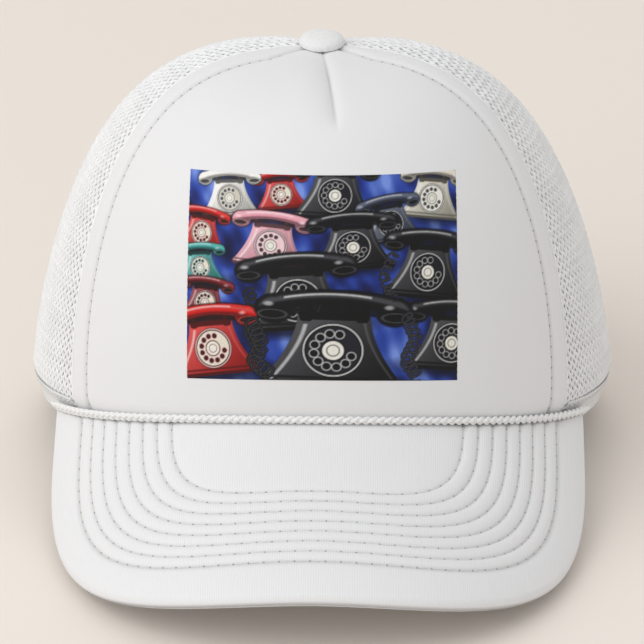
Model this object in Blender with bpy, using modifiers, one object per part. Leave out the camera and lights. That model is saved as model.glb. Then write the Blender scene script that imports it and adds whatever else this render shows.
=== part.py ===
"""A five-panel cap: foam front, mesh back, stitched visor with a rope, and a rear snap strap.

Metres, +Z up. The front faces -Y. The origin is the bottom centre of the cap's bounding box,
on the surface that it stands on. Left and right are the wearer's, so left is +X.
"""

import functools
import math

import bmesh
import bpy
import numpy as np
from mathutils import Matrix, Vector

MM = 0.001
GAP = 0.3 * MM

# Crown. Angles go round the head from the front (0) by the left (90) to the back (180).
RIM_HALF_WIDTH = 96.0 * MM
RIM_FRONT = 95.0 * MM
RIM_BACK = 92.0 * MM
FLARE = 4.5 * MM
FLARE_HEIGHT = 0.10
APEX_Y = -8.0 * MM
APEX_Z = 144.0 * MM
APEX_HOLE = 4.2 * MM
# Profile exponents (wall, roof) of the crown at the front, the sides and the back.
PROFILE_FRONT = (3.6, 0.46)
PROFILE_SIDE = (3.4, 0.68)
PROFILE_BACK = (1.15, 0.44)
REAR_RIM_HEIGHT = 1.3 * MM
REAR_FLAT_FROM = 118.0

# Shares of the height at which every layer of the wall has a row of points.
LEVELS = (
    0.0, 0.03, 0.06, 0.10, 0.15, 0.21, 0.30, 0.40, 0.49, 0.57, 0.65, 0.73, 0.81, 0.90, 1.0,
)

# Panels and seams.
FOAM = 3.0 * MM
MESH = 1.2 * MM
FRONT_SEAM = (55.5, 14.0, 12.0)
SIDE_SEAM = 118.0
TAPE = 0.6 * MM
TAPE_WIDTH = 14.0 * MM
TAPE_INSET_FOAM = FOAM + GAP
TAPE_INSET_MESH = MESH + GAP

# Visor, bent round a cylinder whose axis falls away from the crown.
VISOR_SEAM_Z = 47.8 * MM
VISOR_SLOPE = math.radians(21.5)
VISOR_BEND = 112.0 * MM
VISOR_LENGTH = 71.5 * MM
VISOR_HALF_WIDTH = 100.5 * MM
VISOR_SIDE_BACK = 18.0 * MM
VISOR_SQUARENESS = 2.5
VISOR_SEAM_ANGLE = 63.0
VISOR_ARM_END = 37.0 * MM
BOARD = 2.0 * MM
COVER = 0.8 * MM
BOARD_INSET = 2.0 * MM

ROPE_DIAMETER = 3.0 * MM
ROPE_ANGLE = 64.0
ROPE_STANDOFF = 2.2 * MM

# Sweatband, folded round a foam pad, and the hem tape round the mesh's lower edge.
BAND = 0.8 * MM
BAND_INSET = 4.2 * MM
BAND_TOP = 0.21
BAND_ANGLE = 142.4
PAD = 2.0 * MM
PAD_ANGLE = 70.0
LABEL = 0.4 * MM
LABEL_ANGLES = (126.0, 140.0)
LABEL_LEVELS = (0.06, 0.15)
HEM = 0.7 * MM
HEM_TOP = 0.06
HEM_END = 150.8

# Rear opening and its snap strap.
ARCH_HALF_ANGLE = 28.5
ARCH_HEIGHT = 52.0 * MM
ARCH_SQUARENESS = 3.0
ARCH_BINDING = 8.0 * MM
ARCH_GAP = 0.5 * MM
STRAP = 1.2 * MM
STRAP_LOW = 2.0 * MM
STRAP_HIGH = 21.0 * MM
STRAP_INSET = 3.5 * MM
PEG_STRAP_INSET = STRAP_INSET + STRAP + GAP
STRAP_ROOT_FROM = 37.0
STRAP_HINGE = 26.2
HOLE_COUNT = 7
HOLE_PITCH = 5.24
HOLE_DIAMETER = 5.2 * MM
PEG_DIAMETER = 3.2 * MM
PEG_HEIGHT = 2.3 * MM
STRAP_TIP = 3.8

BUTTON_DIAMETER = 15.0 * MM
BUTTON_HEIGHT = 4.0 * MM
RIVET_SHANK = 3.2 * MM
RIVET_FLANGE = 12.0 * MM

WHITE = (0.80, 0.79, 0.76)
FINISHES = {
    "foam_fabric": ((0.83, 0.82, 0.79), 0.85, 0.0),
    "mesh_fabric": (WHITE, 0.80, 0.0),
    "tape_cotton": ((0.75, 0.74, 0.71), 0.90, 0.0),
    "twill": ((0.80, 0.79, 0.77), 0.88, 0.0),
    "board_plastic": ((0.55, 0.55, 0.53), 0.45, 0.0),
    "rope_cord": ((0.88, 0.87, 0.84), 0.80, 0.0),
    "pad_foam": ((0.70, 0.69, 0.62), 0.95, 0.0),
    "strap_plastic": ((0.82, 0.82, 0.80), 0.35, 0.0),
    "steel": ((0.62, 0.62, 0.60), 0.35, 1.0),
    "label_satin": ((0.86, 0.86, 0.85), 0.45, 0.0),
}


def clear_scene():
    for obj in list(bpy.data.objects):
        bpy.data.objects.remove(obj, do_unlink=True)


def new_collection(name):
    collection = bpy.data.collections.new(name)
    bpy.context.scene.collection.children.link(collection)
    return collection


def new_material(name, finish):
    color, roughness, metallic = FINISHES[finish]
    material = bpy.data.materials.new(name)
    material.use_nodes = True
    shader = material.node_tree.nodes["Principled BSDF"]
    shader.inputs["Base Color"].default_value = (*color, 1.0)
    shader.inputs["Roughness"].default_value = roughness
    shader.inputs["Metallic"].default_value = metallic
    return material


def add_mesh(name, bm, finish, collection):
    bmesh.ops.recalc_face_normals(bm, faces=bm.faces)
    mesh = bpy.data.meshes.new(name)
    bm.to_mesh(mesh)
    bm.free()
    obj = bpy.data.objects.new(name, mesh)
    mesh.materials.append(new_material(name, finish))
    mesh.shade_smooth()
    mesh.set_sharp_from_angle(angle=math.radians(40))
    collection.objects.link(obj)
    return obj


# --- Crown surface ---


def visor_height(x, y):
    """The height of the visor's middle surface over a point of the plan."""
    drop = VISOR_BEND - math.sqrt(max(VISOR_BEND**2 - x * x, 0.0))
    return VISOR_SEAM_Z + (y + RIM_FRONT) * math.tan(VISOR_SLOPE) - drop / math.cos(VISOR_SLOPE)


def rim_plan(angle):
    a = math.radians(angle)
    depth = RIM_FRONT if math.cos(a) > 0 else RIM_BACK
    return RIM_HALF_WIDTH * math.sin(a), -depth * math.cos(a)


def rim_height(angle):
    """The rim lies on the visor as far as the visor reaches, then falls to the flat rear part."""
    angle = abs(angle)
    low = COVER + GAP + BOARD / 2
    if angle <= VISOR_SEAM_ANGLE:
        return visor_height(*rim_plan(angle)) - low
    start = visor_height(*rim_plan(VISOR_SEAM_ANGLE)) - low
    step = 1.0
    slope = (start - visor_height(*rim_plan(VISOR_SEAM_ANGLE - step)) + low) / step
    span = REAR_FLAT_FROM - VISOR_SEAM_ANGLE
    t = min((angle - VISOR_SEAM_ANGLE) / span, 1.0)
    ease = 2 * t**3 - 3 * t**2 + 1
    carry = (t**3 - 2 * t**2 + t) * slope * span
    return REAR_RIM_HEIGHT + (start - REAR_RIM_HEIGHT) * ease + carry * (1 - t)


@functools.lru_cache(maxsize=None)
def meridian(angle):
    """Points up the outer surface from the rim to the hole under the button, and their distances."""
    a = math.radians(angle)
    front = max(math.cos(a), 0.0) ** 2
    back = max(-math.cos(a), 0.0) ** 1.1
    side = 1.0 - front - back
    wall = PROFILE_FRONT[0] * front + PROFILE_SIDE[0] * side + PROFILE_BACK[0] * back
    roof = PROFILE_FRONT[1] * front + PROFILE_SIDE[1] * side + PROFILE_BACK[1] * back
    t = np.linspace(0.0, 1.0, 161)
    reach = 1.0 - t**2.2
    height = (1.0 - reach**wall) ** roof
    x, y = rim_plan(angle)
    radius = math.hypot(x, y - APEX_Y)
    flare = FLARE * side * (1.0 - np.cos(np.pi * np.minimum(height / FLARE_HEIGHT, 1.0))) / 2
    scale = reach * (1.0 + flare / radius)
    low = rim_height(angle)
    points = np.stack(
        [x * scale, APEX_Y + (y - APEX_Y) * scale, low + (APEX_Z - low) * height], axis=1
    )
    along = np.concatenate([[0.0], np.cumsum(np.linalg.norm(np.diff(points, axis=0), axis=1))])
    return points, along


def meridian_length(angle):
    return meridian(round(angle, 6))[1][-1] - APEX_HOLE


def surface(angle, s):
    """The outer surface at a share s (0 to 1) of the way up from the rim to the button's hole."""
    points, along = meridian(round(angle, 6))
    at = s * (along[-1] - APEX_HOLE)
    return Vector([float(np.interp(at, along, points[:, k])) for k in range(3)])


def normal(angle, s):
    ds, da = 0.004, 0.25
    up = surface(angle, min(s + ds, 1.0)) - surface(angle, max(s - ds, 0.0))
    round_ = surface(angle + da, s) - surface(angle - da, s)
    return round_.cross(up).normalized()


def crown_point(angle, s, inset=0.0):
    return surface(angle, s) - normal(angle, s) * inset


def degrees_for(distance, angle, s):
    """How many degrees round the crown this distance takes at that place."""
    a, b = surface(angle - 0.5, s), surface(angle + 0.5, s)
    return distance / max((b - a).length, 1e-6)


def front_seam(s):
    base, lean, top = FRONT_SEAM
    return base + lean * s + top * s**4


def arch_edge(angle):
    """The share of the height at which the rear opening ends, at this angle."""
    off = abs(180.0 - angle) / ARCH_HALF_ANGLE
    if off >= 1.0:
        return 0.0
    share = ARCH_HEIGHT / meridian_length(angle)
    return share * (1.0 - off**ARCH_SQUARENESS) ** (1.0 / ARCH_SQUARENESS)


# --- Shapes made of that surface ---


def sheet(name, columns, thickness, finish, collection):
    """A shell: an open surface of equal columns of points, thickened inwards."""
    bm = bmesh.new()
    grid = [[bm.verts.new(point) for point in column] for column in columns]
    for left, right in zip(grid, grid[1:]):
        for k in range(len(left) - 1):
            bm.faces.new((left[k], right[k], right[k + 1], left[k + 1]))
    mesh = bpy.data.meshes.new(name)
    bm.to_mesh(mesh)
    bm.free()
    obj = bpy.data.objects.new(name, mesh)
    mesh.materials.append(new_material(name, finish))
    mesh.shade_smooth()
    collection.objects.link(obj)
    thick = obj.modifiers.new("Thickness", "SOLIDIFY")
    thick.thickness = thickness
    thick.offset = -1.0
    return obj


def close_rings(bm, rings):
    """Joins rings of points into one closed bar."""
    count = len(rings[0])
    for left, right in zip(rings, rings[1:]):
        for k in range(count):
            m = (k + 1) % count
            bm.faces.new((left[k], left[m], right[m], right[k]))
    bm.faces.new(rings[0])
    bm.faces.new(rings[-1])


def sweep(name, stations, outline, finish, collection):
    """A bar: the outline, in each station's own two directions, carried along the stations."""
    bm = bmesh.new()
    rings = []
    for centre, across, up in stations:
        rings.append([bm.verts.new(centre + across * a + up * b) for a, b in outline])
    close_rings(bm, rings)
    return add_mesh(name, bm, finish, collection)


def lining(name, angles, path, finish, collection, level_foot=False):
    """A layer that follows the wall: path is its outline, as (share of the height, inset, lift).

    With level_foot its lowest points lie at the rim's own height, so that the cap stands flat.
    """
    bm = bmesh.new()
    rings = []
    for angle in angles:
        ring = []
        for s, inset, lift in path:
            point = crown_point(angle, s, inset) + Vector((0.0, 0.0, lift))
            if level_foot and s == 0.0:
                point.z = rim_height(angle) + lift
            ring.append(bm.verts.new(point))
        rings.append(ring)
    close_rings(bm, rings)
    return add_mesh(name, bm, finish, collection)


def fold(outer, inner, wall, top, floor):
    """A path for a tape folded up on both sides of a floor: legs at two insets, open at the top."""
    levels = [s for s in LEVELS if s <= top]
    path = [(s, outer, 0.0) for s in levels[::-1]]
    path[-1] = (0.0, outer, floor)
    path += [(0.0, inner, floor)]
    path += [(s, inner, 0.0) for s in levels[1:]]
    path += [(s, inner - wall, 0.0) for s in levels[:0:-1]]
    path += [(0.0, inner - wall, floor + wall), (0.0, outer + wall, floor + wall)]
    path += [(s, outer + wall, 0.0) for s in levels[1:]]
    return path


def slab(outer, inner, levels, lift):
    """A path for one plain layer between two insets."""
    up = [(s, outer, 0.0) for s in levels]
    down = [(s, inner, 0.0) for s in levels[::-1]]
    up[0] = (levels[0], outer, lift)
    down[-1] = (levels[0], inner, lift)
    return up + down


def rectangle(a0, a1, b0, b1):
    return [(a0, b0), (a1, b0), (a1, b1), (a0, b1)]


def rim_station(angle):
    """A frame at the rim: centre on the outer edge, across level to the inside, up with the wall."""
    centre = surface(angle, 0.0)
    tangent = surface(angle + 0.5, 0.0) - surface(angle - 0.5, 0.0)
    across = Vector((-tangent.y, tangent.x, 0.0)).normalized()
    up = (surface(angle, STRAP_HIGH / meridian_length(angle)) - centre).normalized()
    return centre, across, up


def spread(start, end, count):
    return [start + (end - start) * k / count for k in range(count + 1)]


def signed(side, angle):
    """An angle on the left, or the same place on the right for side -1."""
    return side * angle


# --- Crown pieces ---


def front_panel(collection):
    columns = []
    for share in spread(-1.0, 1.0, 24):
        column = []
        for s in LEVELS:
            edge = front_seam(s) - degrees_for(0.2 * MM, front_seam(s), s)
            column.append(crown_point(share * edge, s))
        columns.append(column)
    return sheet("front_panel", columns, FOAM, "foam_fabric", collection)


def side_panel(side, name, collection):
    columns = []
    for share in spread(0.0, 1.0, 10):
        column = []
        for s in LEVELS:
            low = front_seam(s) + degrees_for(0.2 * MM, front_seam(s), s)
            high = SIDE_SEAM - degrees_for(0.2 * MM, SIDE_SEAM, s)
            column.append(crown_point(signed(side, low + (high - low) * share), s))
        columns.append(column)
    return sheet(name, columns[::side], MESH, "mesh_fabric", collection)


def rear_panel(side, name, collection):
    edge = 180.0 - ARCH_HALF_ANGLE
    angles = spread(SIDE_SEAM, edge, 7)
    for turn in (4, 8, 12, 18, 26, 35, 45, 57, 72, 90):
        reach = math.cos(math.radians(turn)) ** (2.0 / ARCH_SQUARENESS)
        angles.append(180.0 - ARCH_HALF_ANGLE * reach)
    columns = []
    for index, angle in enumerate(angles):
        low = arch_edge(angle)
        column = []
        for level in LEVELS:
            s = low + (1.0 - low) * level
            at = angle
            if index == 0:
                at += degrees_for(0.2 * MM, angle, s)
            if index == len(angles) - 1:
                at -= degrees_for(0.2 * MM, angle, s)
            column.append(crown_point(signed(side, at), s))
        columns.append(column)
    return sheet(name, columns[::side], MESH, "mesh_fabric", collection)


def seam_tape(name, centre_line, inset, collection):
    """A tape on the inside of a seam, from inside the sweatband up to the button."""
    columns = []
    for share in (-0.5, 0.0, 0.5):
        column = []
        for s in LEVELS[3:-1]:
            middle = centre_line(s)
            width = min(TAPE_WIDTH * (0.35 + 2.6 * (1.0 - s)), TAPE_WIDTH)
            turn = degrees_for(width, middle, s) * share
            column.append(crown_point(middle + turn, s, inset))
        columns.append(column)
    return sheet(name, columns, TAPE, "tape_cotton", collection)


def hem_tape(side, name, collection):
    angles = [signed(side, angle) for angle in spread(VISOR_SEAM_ANGLE + 2.0, HEM_END, 16)]
    path = fold(-GAP - HEM, MESH + GAP + HEM, HEM, HEM_TOP, -REAR_RIM_HEIGHT)
    return lining(name, angles, path, "mesh_fabric", collection, level_foot=True)


def arch_binding(collection):
    """A tape folded over the edge of the rear opening, down to the hem on each side."""
    foot = (HEM_TOP * meridian_length(HEM_END) + 1.5 * MM) / ARCH_HEIGHT
    start = math.degrees(math.asin(foot ** (ARCH_SQUARENESS / 2.0)))
    outer, inner = -ARCH_GAP - HEM, MESH + ARCH_GAP + HEM
    half, full = ARCH_BINDING / 2, ARCH_BINDING
    outline = [
        (outer, outer), (outer, inner), (half, inner), (full, inner),
        (full, inner - HEM), (half, inner - HEM), (outer + HEM, inner - HEM),
        (outer + HEM, outer + HEM), (half, outer + HEM), (full, outer + HEM),
        (full, outer), (half, outer),
    ]
    bm = bmesh.new()
    rings = []
    for turn in spread(start, 180.0 - start, 26):
        ring = [bm.verts.new(crown_point(*arch_place(turn, away), inset)) for away, inset in outline]
        rings.append(ring)
    close_rings(bm, rings)
    return add_mesh("rear_arch_binding", bm, "tape_cotton", collection)


def arch_curve(turn):
    """A place on the rear opening's edge, for a turn from 0 (left foot) to 180 (right foot)."""
    c, s = math.cos(math.radians(turn)), math.sin(math.radians(turn))
    power = 2.0 / ARCH_SQUARENESS
    angle = 180.0 - ARCH_HALF_ANGLE * math.copysign(abs(c) ** power, c)
    return angle, abs(s) ** power * ARCH_HEIGHT / meridian_length(angle)


def arch_place(turn, away):
    """The place beside the opening's edge, this far away from the opening along the wall."""
    angle, s = arch_curve(turn)
    before, after = arch_curve(turn - 1.0), arch_curve(turn + 1.0)
    length = meridian_length(angle)
    degree = degrees_for(1.0, angle, s)
    along = Vector(((after[0] - before[0]) / degree, (after[1] - before[1]) * length)).normalized()
    return angle - along.y * away * degree, s + along.x * away / length


def sweatband(collection):
    depth = 2 * BAND + PAD + 2 * GAP
    path = fold(BAND_INSET, BAND_INSET + depth, BAND, BAND_TOP, 0.0)
    angles = spread(-BAND_ANGLE, BAND_ANGLE, 44)
    return lining("sweatband", angles, path, "twill", collection)


def forehead_pad(collection):
    inset = BAND_INSET + BAND + GAP
    levels = [s for s in LEVELS if s <= BAND_TOP]
    path = slab(inset, inset + PAD, levels, BAND + GAP)
    return lining("forehead_pad", spread(-PAD_ANGLE, PAD_ANGLE, 22), path, "pad_foam", collection)


def size_label(collection):
    inset = BAND_INSET + 2 * BAND + PAD + 3 * GAP
    levels = [s for s in LEVELS if LABEL_LEVELS[0] <= s <= LABEL_LEVELS[1]]
    path = slab(inset, inset + LABEL, levels, 0.0)
    return lining("size_label", spread(*LABEL_ANGLES, 4), path, "label_satin", collection)


# --- Visor and rope ---


def visor_point(v, u, lift=0.0):
    """A point of the bent visor: v across and u forward on its flat pattern, lift over its middle."""
    turn = v / VISOR_BEND
    radius = VISOR_BEND + lift
    x = radius * math.sin(turn)
    drop = VISOR_BEND - radius * math.cos(turn)
    forward = u * math.cos(VISOR_SLOPE) - drop * math.sin(VISOR_SLOPE)
    z = VISOR_SEAM_Z - u * math.sin(VISOR_SLOPE) - drop * math.cos(VISOR_SLOPE)
    return Vector((x, -RIM_FRONT - forward, z))


def visor_inner(angle, clear):
    """The flat-pattern place where the visor meets the crown, held off by clear."""
    x, y = rim_plan(angle)
    a = math.radians(angle)
    out = Vector((math.sin(a) / RIM_HALF_WIDTH, -math.cos(a) / RIM_FRONT)).normalized()
    x, y = x + out.x * clear, y + out.y * clear
    v = VISOR_BEND * math.asin(x / VISOR_BEND)
    drop = VISOR_BEND * (1.0 - math.cos(v / VISOR_BEND))
    return v, (-RIM_FRONT - y + drop * math.sin(VISOR_SLOPE)) / math.cos(VISOR_SLOPE)


def visor_lean(angle):
    """How far the visor's upright leans outwards, for each unit of its length."""
    bend = visor_inner(angle, 0.0)[0] / VISOR_BEND
    return math.hypot(math.sin(bend), math.cos(bend) * math.sin(VISOR_SLOPE))


def visor_outer(share, inset):
    """The flat-pattern place on the visor's outer edge, from one arm's end (-1) to the other (1)."""
    half = VISOR_HALF_WIDTH - inset
    front = VISOR_LENGTH + VISOR_SIDE_BACK - inset
    power = 2.0 / VISOR_SQUARENESS
    straight = VISOR_ARM_END - VISOR_SIDE_BACK
    turns = np.radians(np.linspace(0.0, 90.0, 61))
    v = np.append(half * np.sin(turns) ** power, half)
    u = np.append(front * np.abs(np.cos(turns)) ** power - VISOR_SIDE_BACK, -VISOR_ARM_END)
    u[-2] = u[-1] + straight
    along = np.concatenate([[0.0], np.cumsum(np.hypot(np.diff(v), np.diff(u)))])
    at = abs(share) * along[-1]
    return math.copysign(float(np.interp(at, along, v)), share), float(np.interp(at, along, u))


def visor_layer(name, top, thickness, inset, clear, finish, collection):
    columns = []
    for share in spread(-1.0, 1.0, 32):
        angle = share * VISOR_SEAM_ANGLE
        under = min(top - thickness, 0.0)
        inner = visor_inner(angle, clear - under * visor_lean(angle))
        outer = visor_outer(share, inset)
        column = []
        for k in spread(0.0, 1.0, 4):
            v = inner[0] + (outer[0] - inner[0]) * k
            u = inner[1] + (outer[1] - inner[1]) * k
            column.append(visor_point(v, u, top))
        columns.append(column[::-1])
    return sheet(name, columns, thickness, finish, collection)


def visor(collection):
    board_top = BOARD / 2
    cover_top = board_top + GAP + COVER
    clear = 0.5 * MM
    visor_layer("visor_top_cover", cover_top, COVER, 0.0, clear, "twill", collection)
    visor_layer("visor_board", board_top, BOARD, BOARD_INSET, 2 * clear, "board_plastic", collection)
    visor_layer("visor_under_cover", -board_top - GAP, COVER, 0.0, clear, "twill", collection)


def rope_route():
    """Points of the rope's middle, lying in the corner between the crown and the visor."""
    held = ROPE_DIAMETER / 2 + 1.5 * GAP
    lift = BOARD / 2 + GAP + COVER + held
    points = []
    for angle in spread(-ROPE_ANGLE, ROPE_ANGLE, 44):
        flare = ROPE_STANDOFF * math.sin(math.radians(angle)) ** 2
        v, u = visor_inner(angle, held + flare - lift * visor_lean(angle))
        points.append(visor_point(v, u, lift))
    return points


def rope(collection):
    curve = bpy.data.curves.new("visor_rope", "CURVE")
    curve.dimensions = "3D"
    curve.bevel_depth = ROPE_DIAMETER / 2
    curve.bevel_resolution = 2
    curve.use_fill_caps = True
    route = rope_route()
    spline = curve.splines.new("POLY")
    spline.points.add(len(route) - 1)
    for point, place in zip(spline.points, route):
        point.co = (*place, 1.0)
    curve.materials.append(new_material("visor_rope", "rope_cord"))
    obj = bpy.data.objects.new("visor_rope", curve)
    collection.objects.link(obj)
    return obj


# --- Button ---


def turned(name, profile, place, finish, collection):
    """A turned solid: a profile of (radius, height) points with a Screw round Z."""
    bm = bmesh.new()
    verts = [bm.verts.new((radius, 0.0, height)) for radius, height in profile]
    for a, b in zip(verts, verts[1:]):
        bm.edges.new((a, b))
    mesh = bpy.data.meshes.new(name)
    bm.to_mesh(mesh)
    bm.free()
    obj = bpy.data.objects.new(name, mesh)
    mesh.materials.append(new_material(name, finish))
    collection.objects.link(obj)
    obj.location = place
    screw = obj.modifiers.new("Turn", "SCREW")
    screw.steps = 24
    screw.render_steps = 24
    screw.use_merge_vertices = True
    screw.merge_threshold = 0.00001
    return obj


def button(collection):
    apex = Vector((0.0, APEX_Y, APEX_Z))
    radius = BUTTON_DIAMETER / 2
    dome = []
    for turn in range(0, 91, 15):
        a = math.radians(turn)
        dome.append((radius * math.sin(a) ** 0.9, BUTTON_HEIGHT * math.cos(a) ** 0.8 + GAP))
    profile = dome[:-1] + [(radius, 0.9 * MM), (radius - 0.6 * MM, GAP), (0.0, GAP)]
    turned("top_button", profile, apex, "twill", collection)
    inside = -(FOAM + 2 * GAP + TAPE + GAP)
    shank = RIVET_SHANK / 2
    flange = RIVET_FLANGE / 2
    stud = [
        (0.0, 0.0), (shank, 0.0), (shank, inside),
        (flange, inside), (flange, inside - 1.0 * MM), (0.0, inside - 1.0 * MM),
    ]
    turned("button_rivet", stud, apex, "steel", collection)


# --- Snap strap ---


def strap_place(off, inset, height):
    """A point of a strap, off degrees from the centre back (left is positive), and its frame."""
    centre, across, up = rim_station(180.0 - off)
    return centre + across * inset + up * height, across, up


def peg_inset(off):
    """The peg strap starts in line with the other strap and steps inside it."""
    t = min(max((off + STRAP_HINGE) / 8.0, 0.0), 1.0)
    return STRAP_INSET + (PEG_STRAP_INSET - STRAP_INSET) * t * t * (3.0 - 2.0 * t)


def strap_bar(name, offs, inset_at, collection):
    stations = []
    for off in offs:
        stations.append(strap_place(off, inset_at(off), 0.0))
    half = STRAP / 2
    outline = rectangle(-half, half, STRAP_LOW, STRAP_HIGH)
    return sweep(name, stations, outline, "strap_plastic", collection)


def round_bar(off, inset, radius, inward, outward, target):
    """Adds a round bar through the strap's middle, across the strap, to a bmesh."""
    middle, across, _ = strap_place(off, inset, (STRAP_LOW + STRAP_HIGH) / 2)
    turn = across.to_track_quat("Z", "Y").to_matrix().to_4x4()
    centre = middle + across * (inward - outward) / 2
    bmesh.ops.create_cone(
        target, cap_ends=True, segments=14, radius1=radius, radius2=radius,
        depth=inward + outward, matrix=Matrix.Translation(centre) @ turn,
    )


def tool(name, bm, collection):
    mesh = bpy.data.meshes.new(name)
    bm.to_mesh(mesh)
    bm.free()
    obj = bpy.data.objects.new(name, mesh)
    obj.hide_render = True
    obj.display_type = "WIRE"
    collection.objects.link(obj)
    return obj


def snap_offsets():
    """Places of the holes, from the strap's tip: the first four share their places with pegs."""
    first = -1.5 * HOLE_PITCH
    return [first + HOLE_PITCH * k for k in range(HOLE_COUNT)]


def snap_strap(collection, cutters):
    root_gap = 0.3
    tip = -(1.5 * HOLE_PITCH + STRAP_TIP)

    def level(off):
        return STRAP_INSET

    strap_bar("hole_strap_root", spread(STRAP_ROOT_FROM, STRAP_HINGE, 4), level, collection)
    strap_bar("peg_strap_root", spread(-STRAP_ROOT_FROM, -STRAP_HINGE, 4), level, collection)
    offs = spread(STRAP_HINGE - root_gap, tip, 16)
    holes_tab = strap_bar("hole_strap", offs, level, collection)
    holes = bmesh.new()
    for off in snap_offsets():
        round_bar(off, STRAP_INSET, HOLE_DIAMETER / 2, STRAP, STRAP, holes)
    cut = holes_tab.modifiers.new("Holes", "BOOLEAN")
    cut.operation = "DIFFERENCE"
    cut.object = tool("hole_cutters", holes, cutters)
    pegs_tab = strap_bar("peg_strap", [-off for off in offs], peg_inset, collection)
    pegs = bmesh.new()
    for off in snap_offsets():
        outward = STRAP / 2 + PEG_HEIGHT
        round_bar(-off, peg_inset(-off), PEG_DIAMETER / 2, STRAP / 4, outward, pegs)
    join = pegs_tab.modifiers.new("Pegs", "BOOLEAN")
    join.operation = "UNION"
    join.object = tool("peg_tools", pegs, cutters)


# --- Whole cap ---


def stand_on_ground(collection, cutters):
    """Moves the cap, through one empty, so that the origin is the bottom centre of its box."""
    bpy.context.view_layer.update()
    graph = bpy.context.evaluated_depsgraph_get()
    low, high = np.full(3, np.inf), np.full(3, -np.inf)
    for obj in collection.objects:
        evaluated = obj.evaluated_get(graph)
        for vertex in evaluated.to_mesh().vertices:
            place = np.array(obj.matrix_world @ vertex.co)
            low, high = np.minimum(low, place), np.maximum(high, place)
        evaluated.to_mesh_clear()
    stand = bpy.data.objects.new("cap_stand", None)
    stand.location = (-(low[0] + high[0]) / 2, -(low[1] + high[1]) / 2, -low[2])
    for obj in list(collection.objects) + list(cutters.objects):
        obj.parent = stand
    collection.objects.link(stand)
    return stand


def report_places(stand):
    """Prints the world positions of the strap hinges and the resting face, in millimetres."""
    half = STRAP / 2
    for name, off, inset in (
        ("hole strap hinge", STRAP_HINGE - 0.15, STRAP_INSET - half),
        ("peg strap hinge", -(STRAP_HINGE - 0.15), STRAP_INSET + half),
    ):
        place, _, up = strap_place(off, inset, (STRAP_LOW + STRAP_HIGH) / 2)
        place = place + stand.location
        print(name, [round(c / MM, 3) for c in place], "axis", [round(c, 4) for c in up])
    centre, across, _ = rim_station(135.0)
    rest = centre + across * (MESH / 2) + stand.location
    print("rest face", [round(c / MM, 3) for c in rest], "stand", stand.location)


def main():
    clear_scene()
    cap = new_collection("baseball_cap")
    cutters = new_collection("cutters")
    front_panel(cap)
    for side, word in ((1, "left"), (-1, "right")):
        side_panel(side, "side_panel_" + word, cap)
        rear_panel(side, "rear_panel_" + word, cap)
        hem_tape(side, "hem_tape_" + word, cap)
        seam_tape(
            "front_seam_tape_" + word,
            lambda s, side=side: side * front_seam(s), TAPE_INSET_FOAM, cap,
        )
        seam_tape(
            "side_seam_tape_" + word,
            lambda s, side=side: side * SIDE_SEAM, TAPE_INSET_MESH, cap,
        )
    arch_binding(cap)
    sweatband(cap)
    forehead_pad(cap)
    size_label(cap)
    visor(cap)
    rope(cap)
    button(cap)
    snap_strap(cap, cutters)
    report_places(stand_on_ground(cap, cutters))


main()
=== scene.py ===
"""The looks of a foam-front cap with mesh sides, built round its packed frame.

Every piece follows the same crown and visor surfaces as the frame's solids. Metres, +Z up, and the
front faces -Y. Angles go round the crown from the front (0) by the wearer's left (90) to the back
(180), and a share runs up the wall from the rim (0) to the hole under the button (1).
"""

import math

import bmesh
import bpy
import numpy as np
from mathutils import Matrix, Vector


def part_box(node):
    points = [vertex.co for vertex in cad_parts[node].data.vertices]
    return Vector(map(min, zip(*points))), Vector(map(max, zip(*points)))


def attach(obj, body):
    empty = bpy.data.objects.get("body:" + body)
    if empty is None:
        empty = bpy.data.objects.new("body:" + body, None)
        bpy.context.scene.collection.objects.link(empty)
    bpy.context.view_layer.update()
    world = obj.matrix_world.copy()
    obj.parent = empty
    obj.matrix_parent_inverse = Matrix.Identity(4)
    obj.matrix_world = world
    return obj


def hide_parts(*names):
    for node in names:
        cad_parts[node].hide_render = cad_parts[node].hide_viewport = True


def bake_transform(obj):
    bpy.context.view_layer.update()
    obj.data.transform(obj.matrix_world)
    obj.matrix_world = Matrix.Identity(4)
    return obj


bl_info = {
    "name": "Foam-front cap",
    "version": (1, 0, 0),
    "blender": (4, 5, 0),
    "location": "View3D > Sidebar > Cap",
    "description": "Builds the visible pieces of a foam-front cap with mesh sides",
    "category": "Add Mesh",
}

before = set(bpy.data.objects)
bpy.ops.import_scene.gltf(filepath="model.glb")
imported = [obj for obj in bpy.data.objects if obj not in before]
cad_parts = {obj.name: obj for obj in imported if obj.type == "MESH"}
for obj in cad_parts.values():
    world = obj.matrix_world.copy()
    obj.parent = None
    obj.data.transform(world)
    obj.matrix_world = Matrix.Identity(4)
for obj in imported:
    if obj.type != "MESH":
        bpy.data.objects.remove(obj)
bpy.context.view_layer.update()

MM = 0.001

# --- Crown: the frame's own sizes ---

RIM_HALF_WIDTH = 96.0 * MM
RIM_FRONT = 95.0 * MM
RIM_BACK = 92.0 * MM
FLARE = 4.5 * MM
FLARE_HEIGHT = 0.10
APEX_Y = -8.0 * MM
APEX_Z = 144.0 * MM
APEX_HOLE = 4.2 * MM
GAP = 0.3 * MM
PROFILE_FRONT = (3.6, 0.46)
PROFILE_SIDE = (3.4, 0.68)
PROFILE_BACK = (1.15, 0.44)
REAR_RIM_HEIGHT = 1.3 * MM
REAR_FLAT_FROM = 118.0
SIDE_SEAM = 118.0
FOAM = 3.0 * MM
MESH = 1.2 * MM

# --- Visor: the frame's own sizes ---

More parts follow.
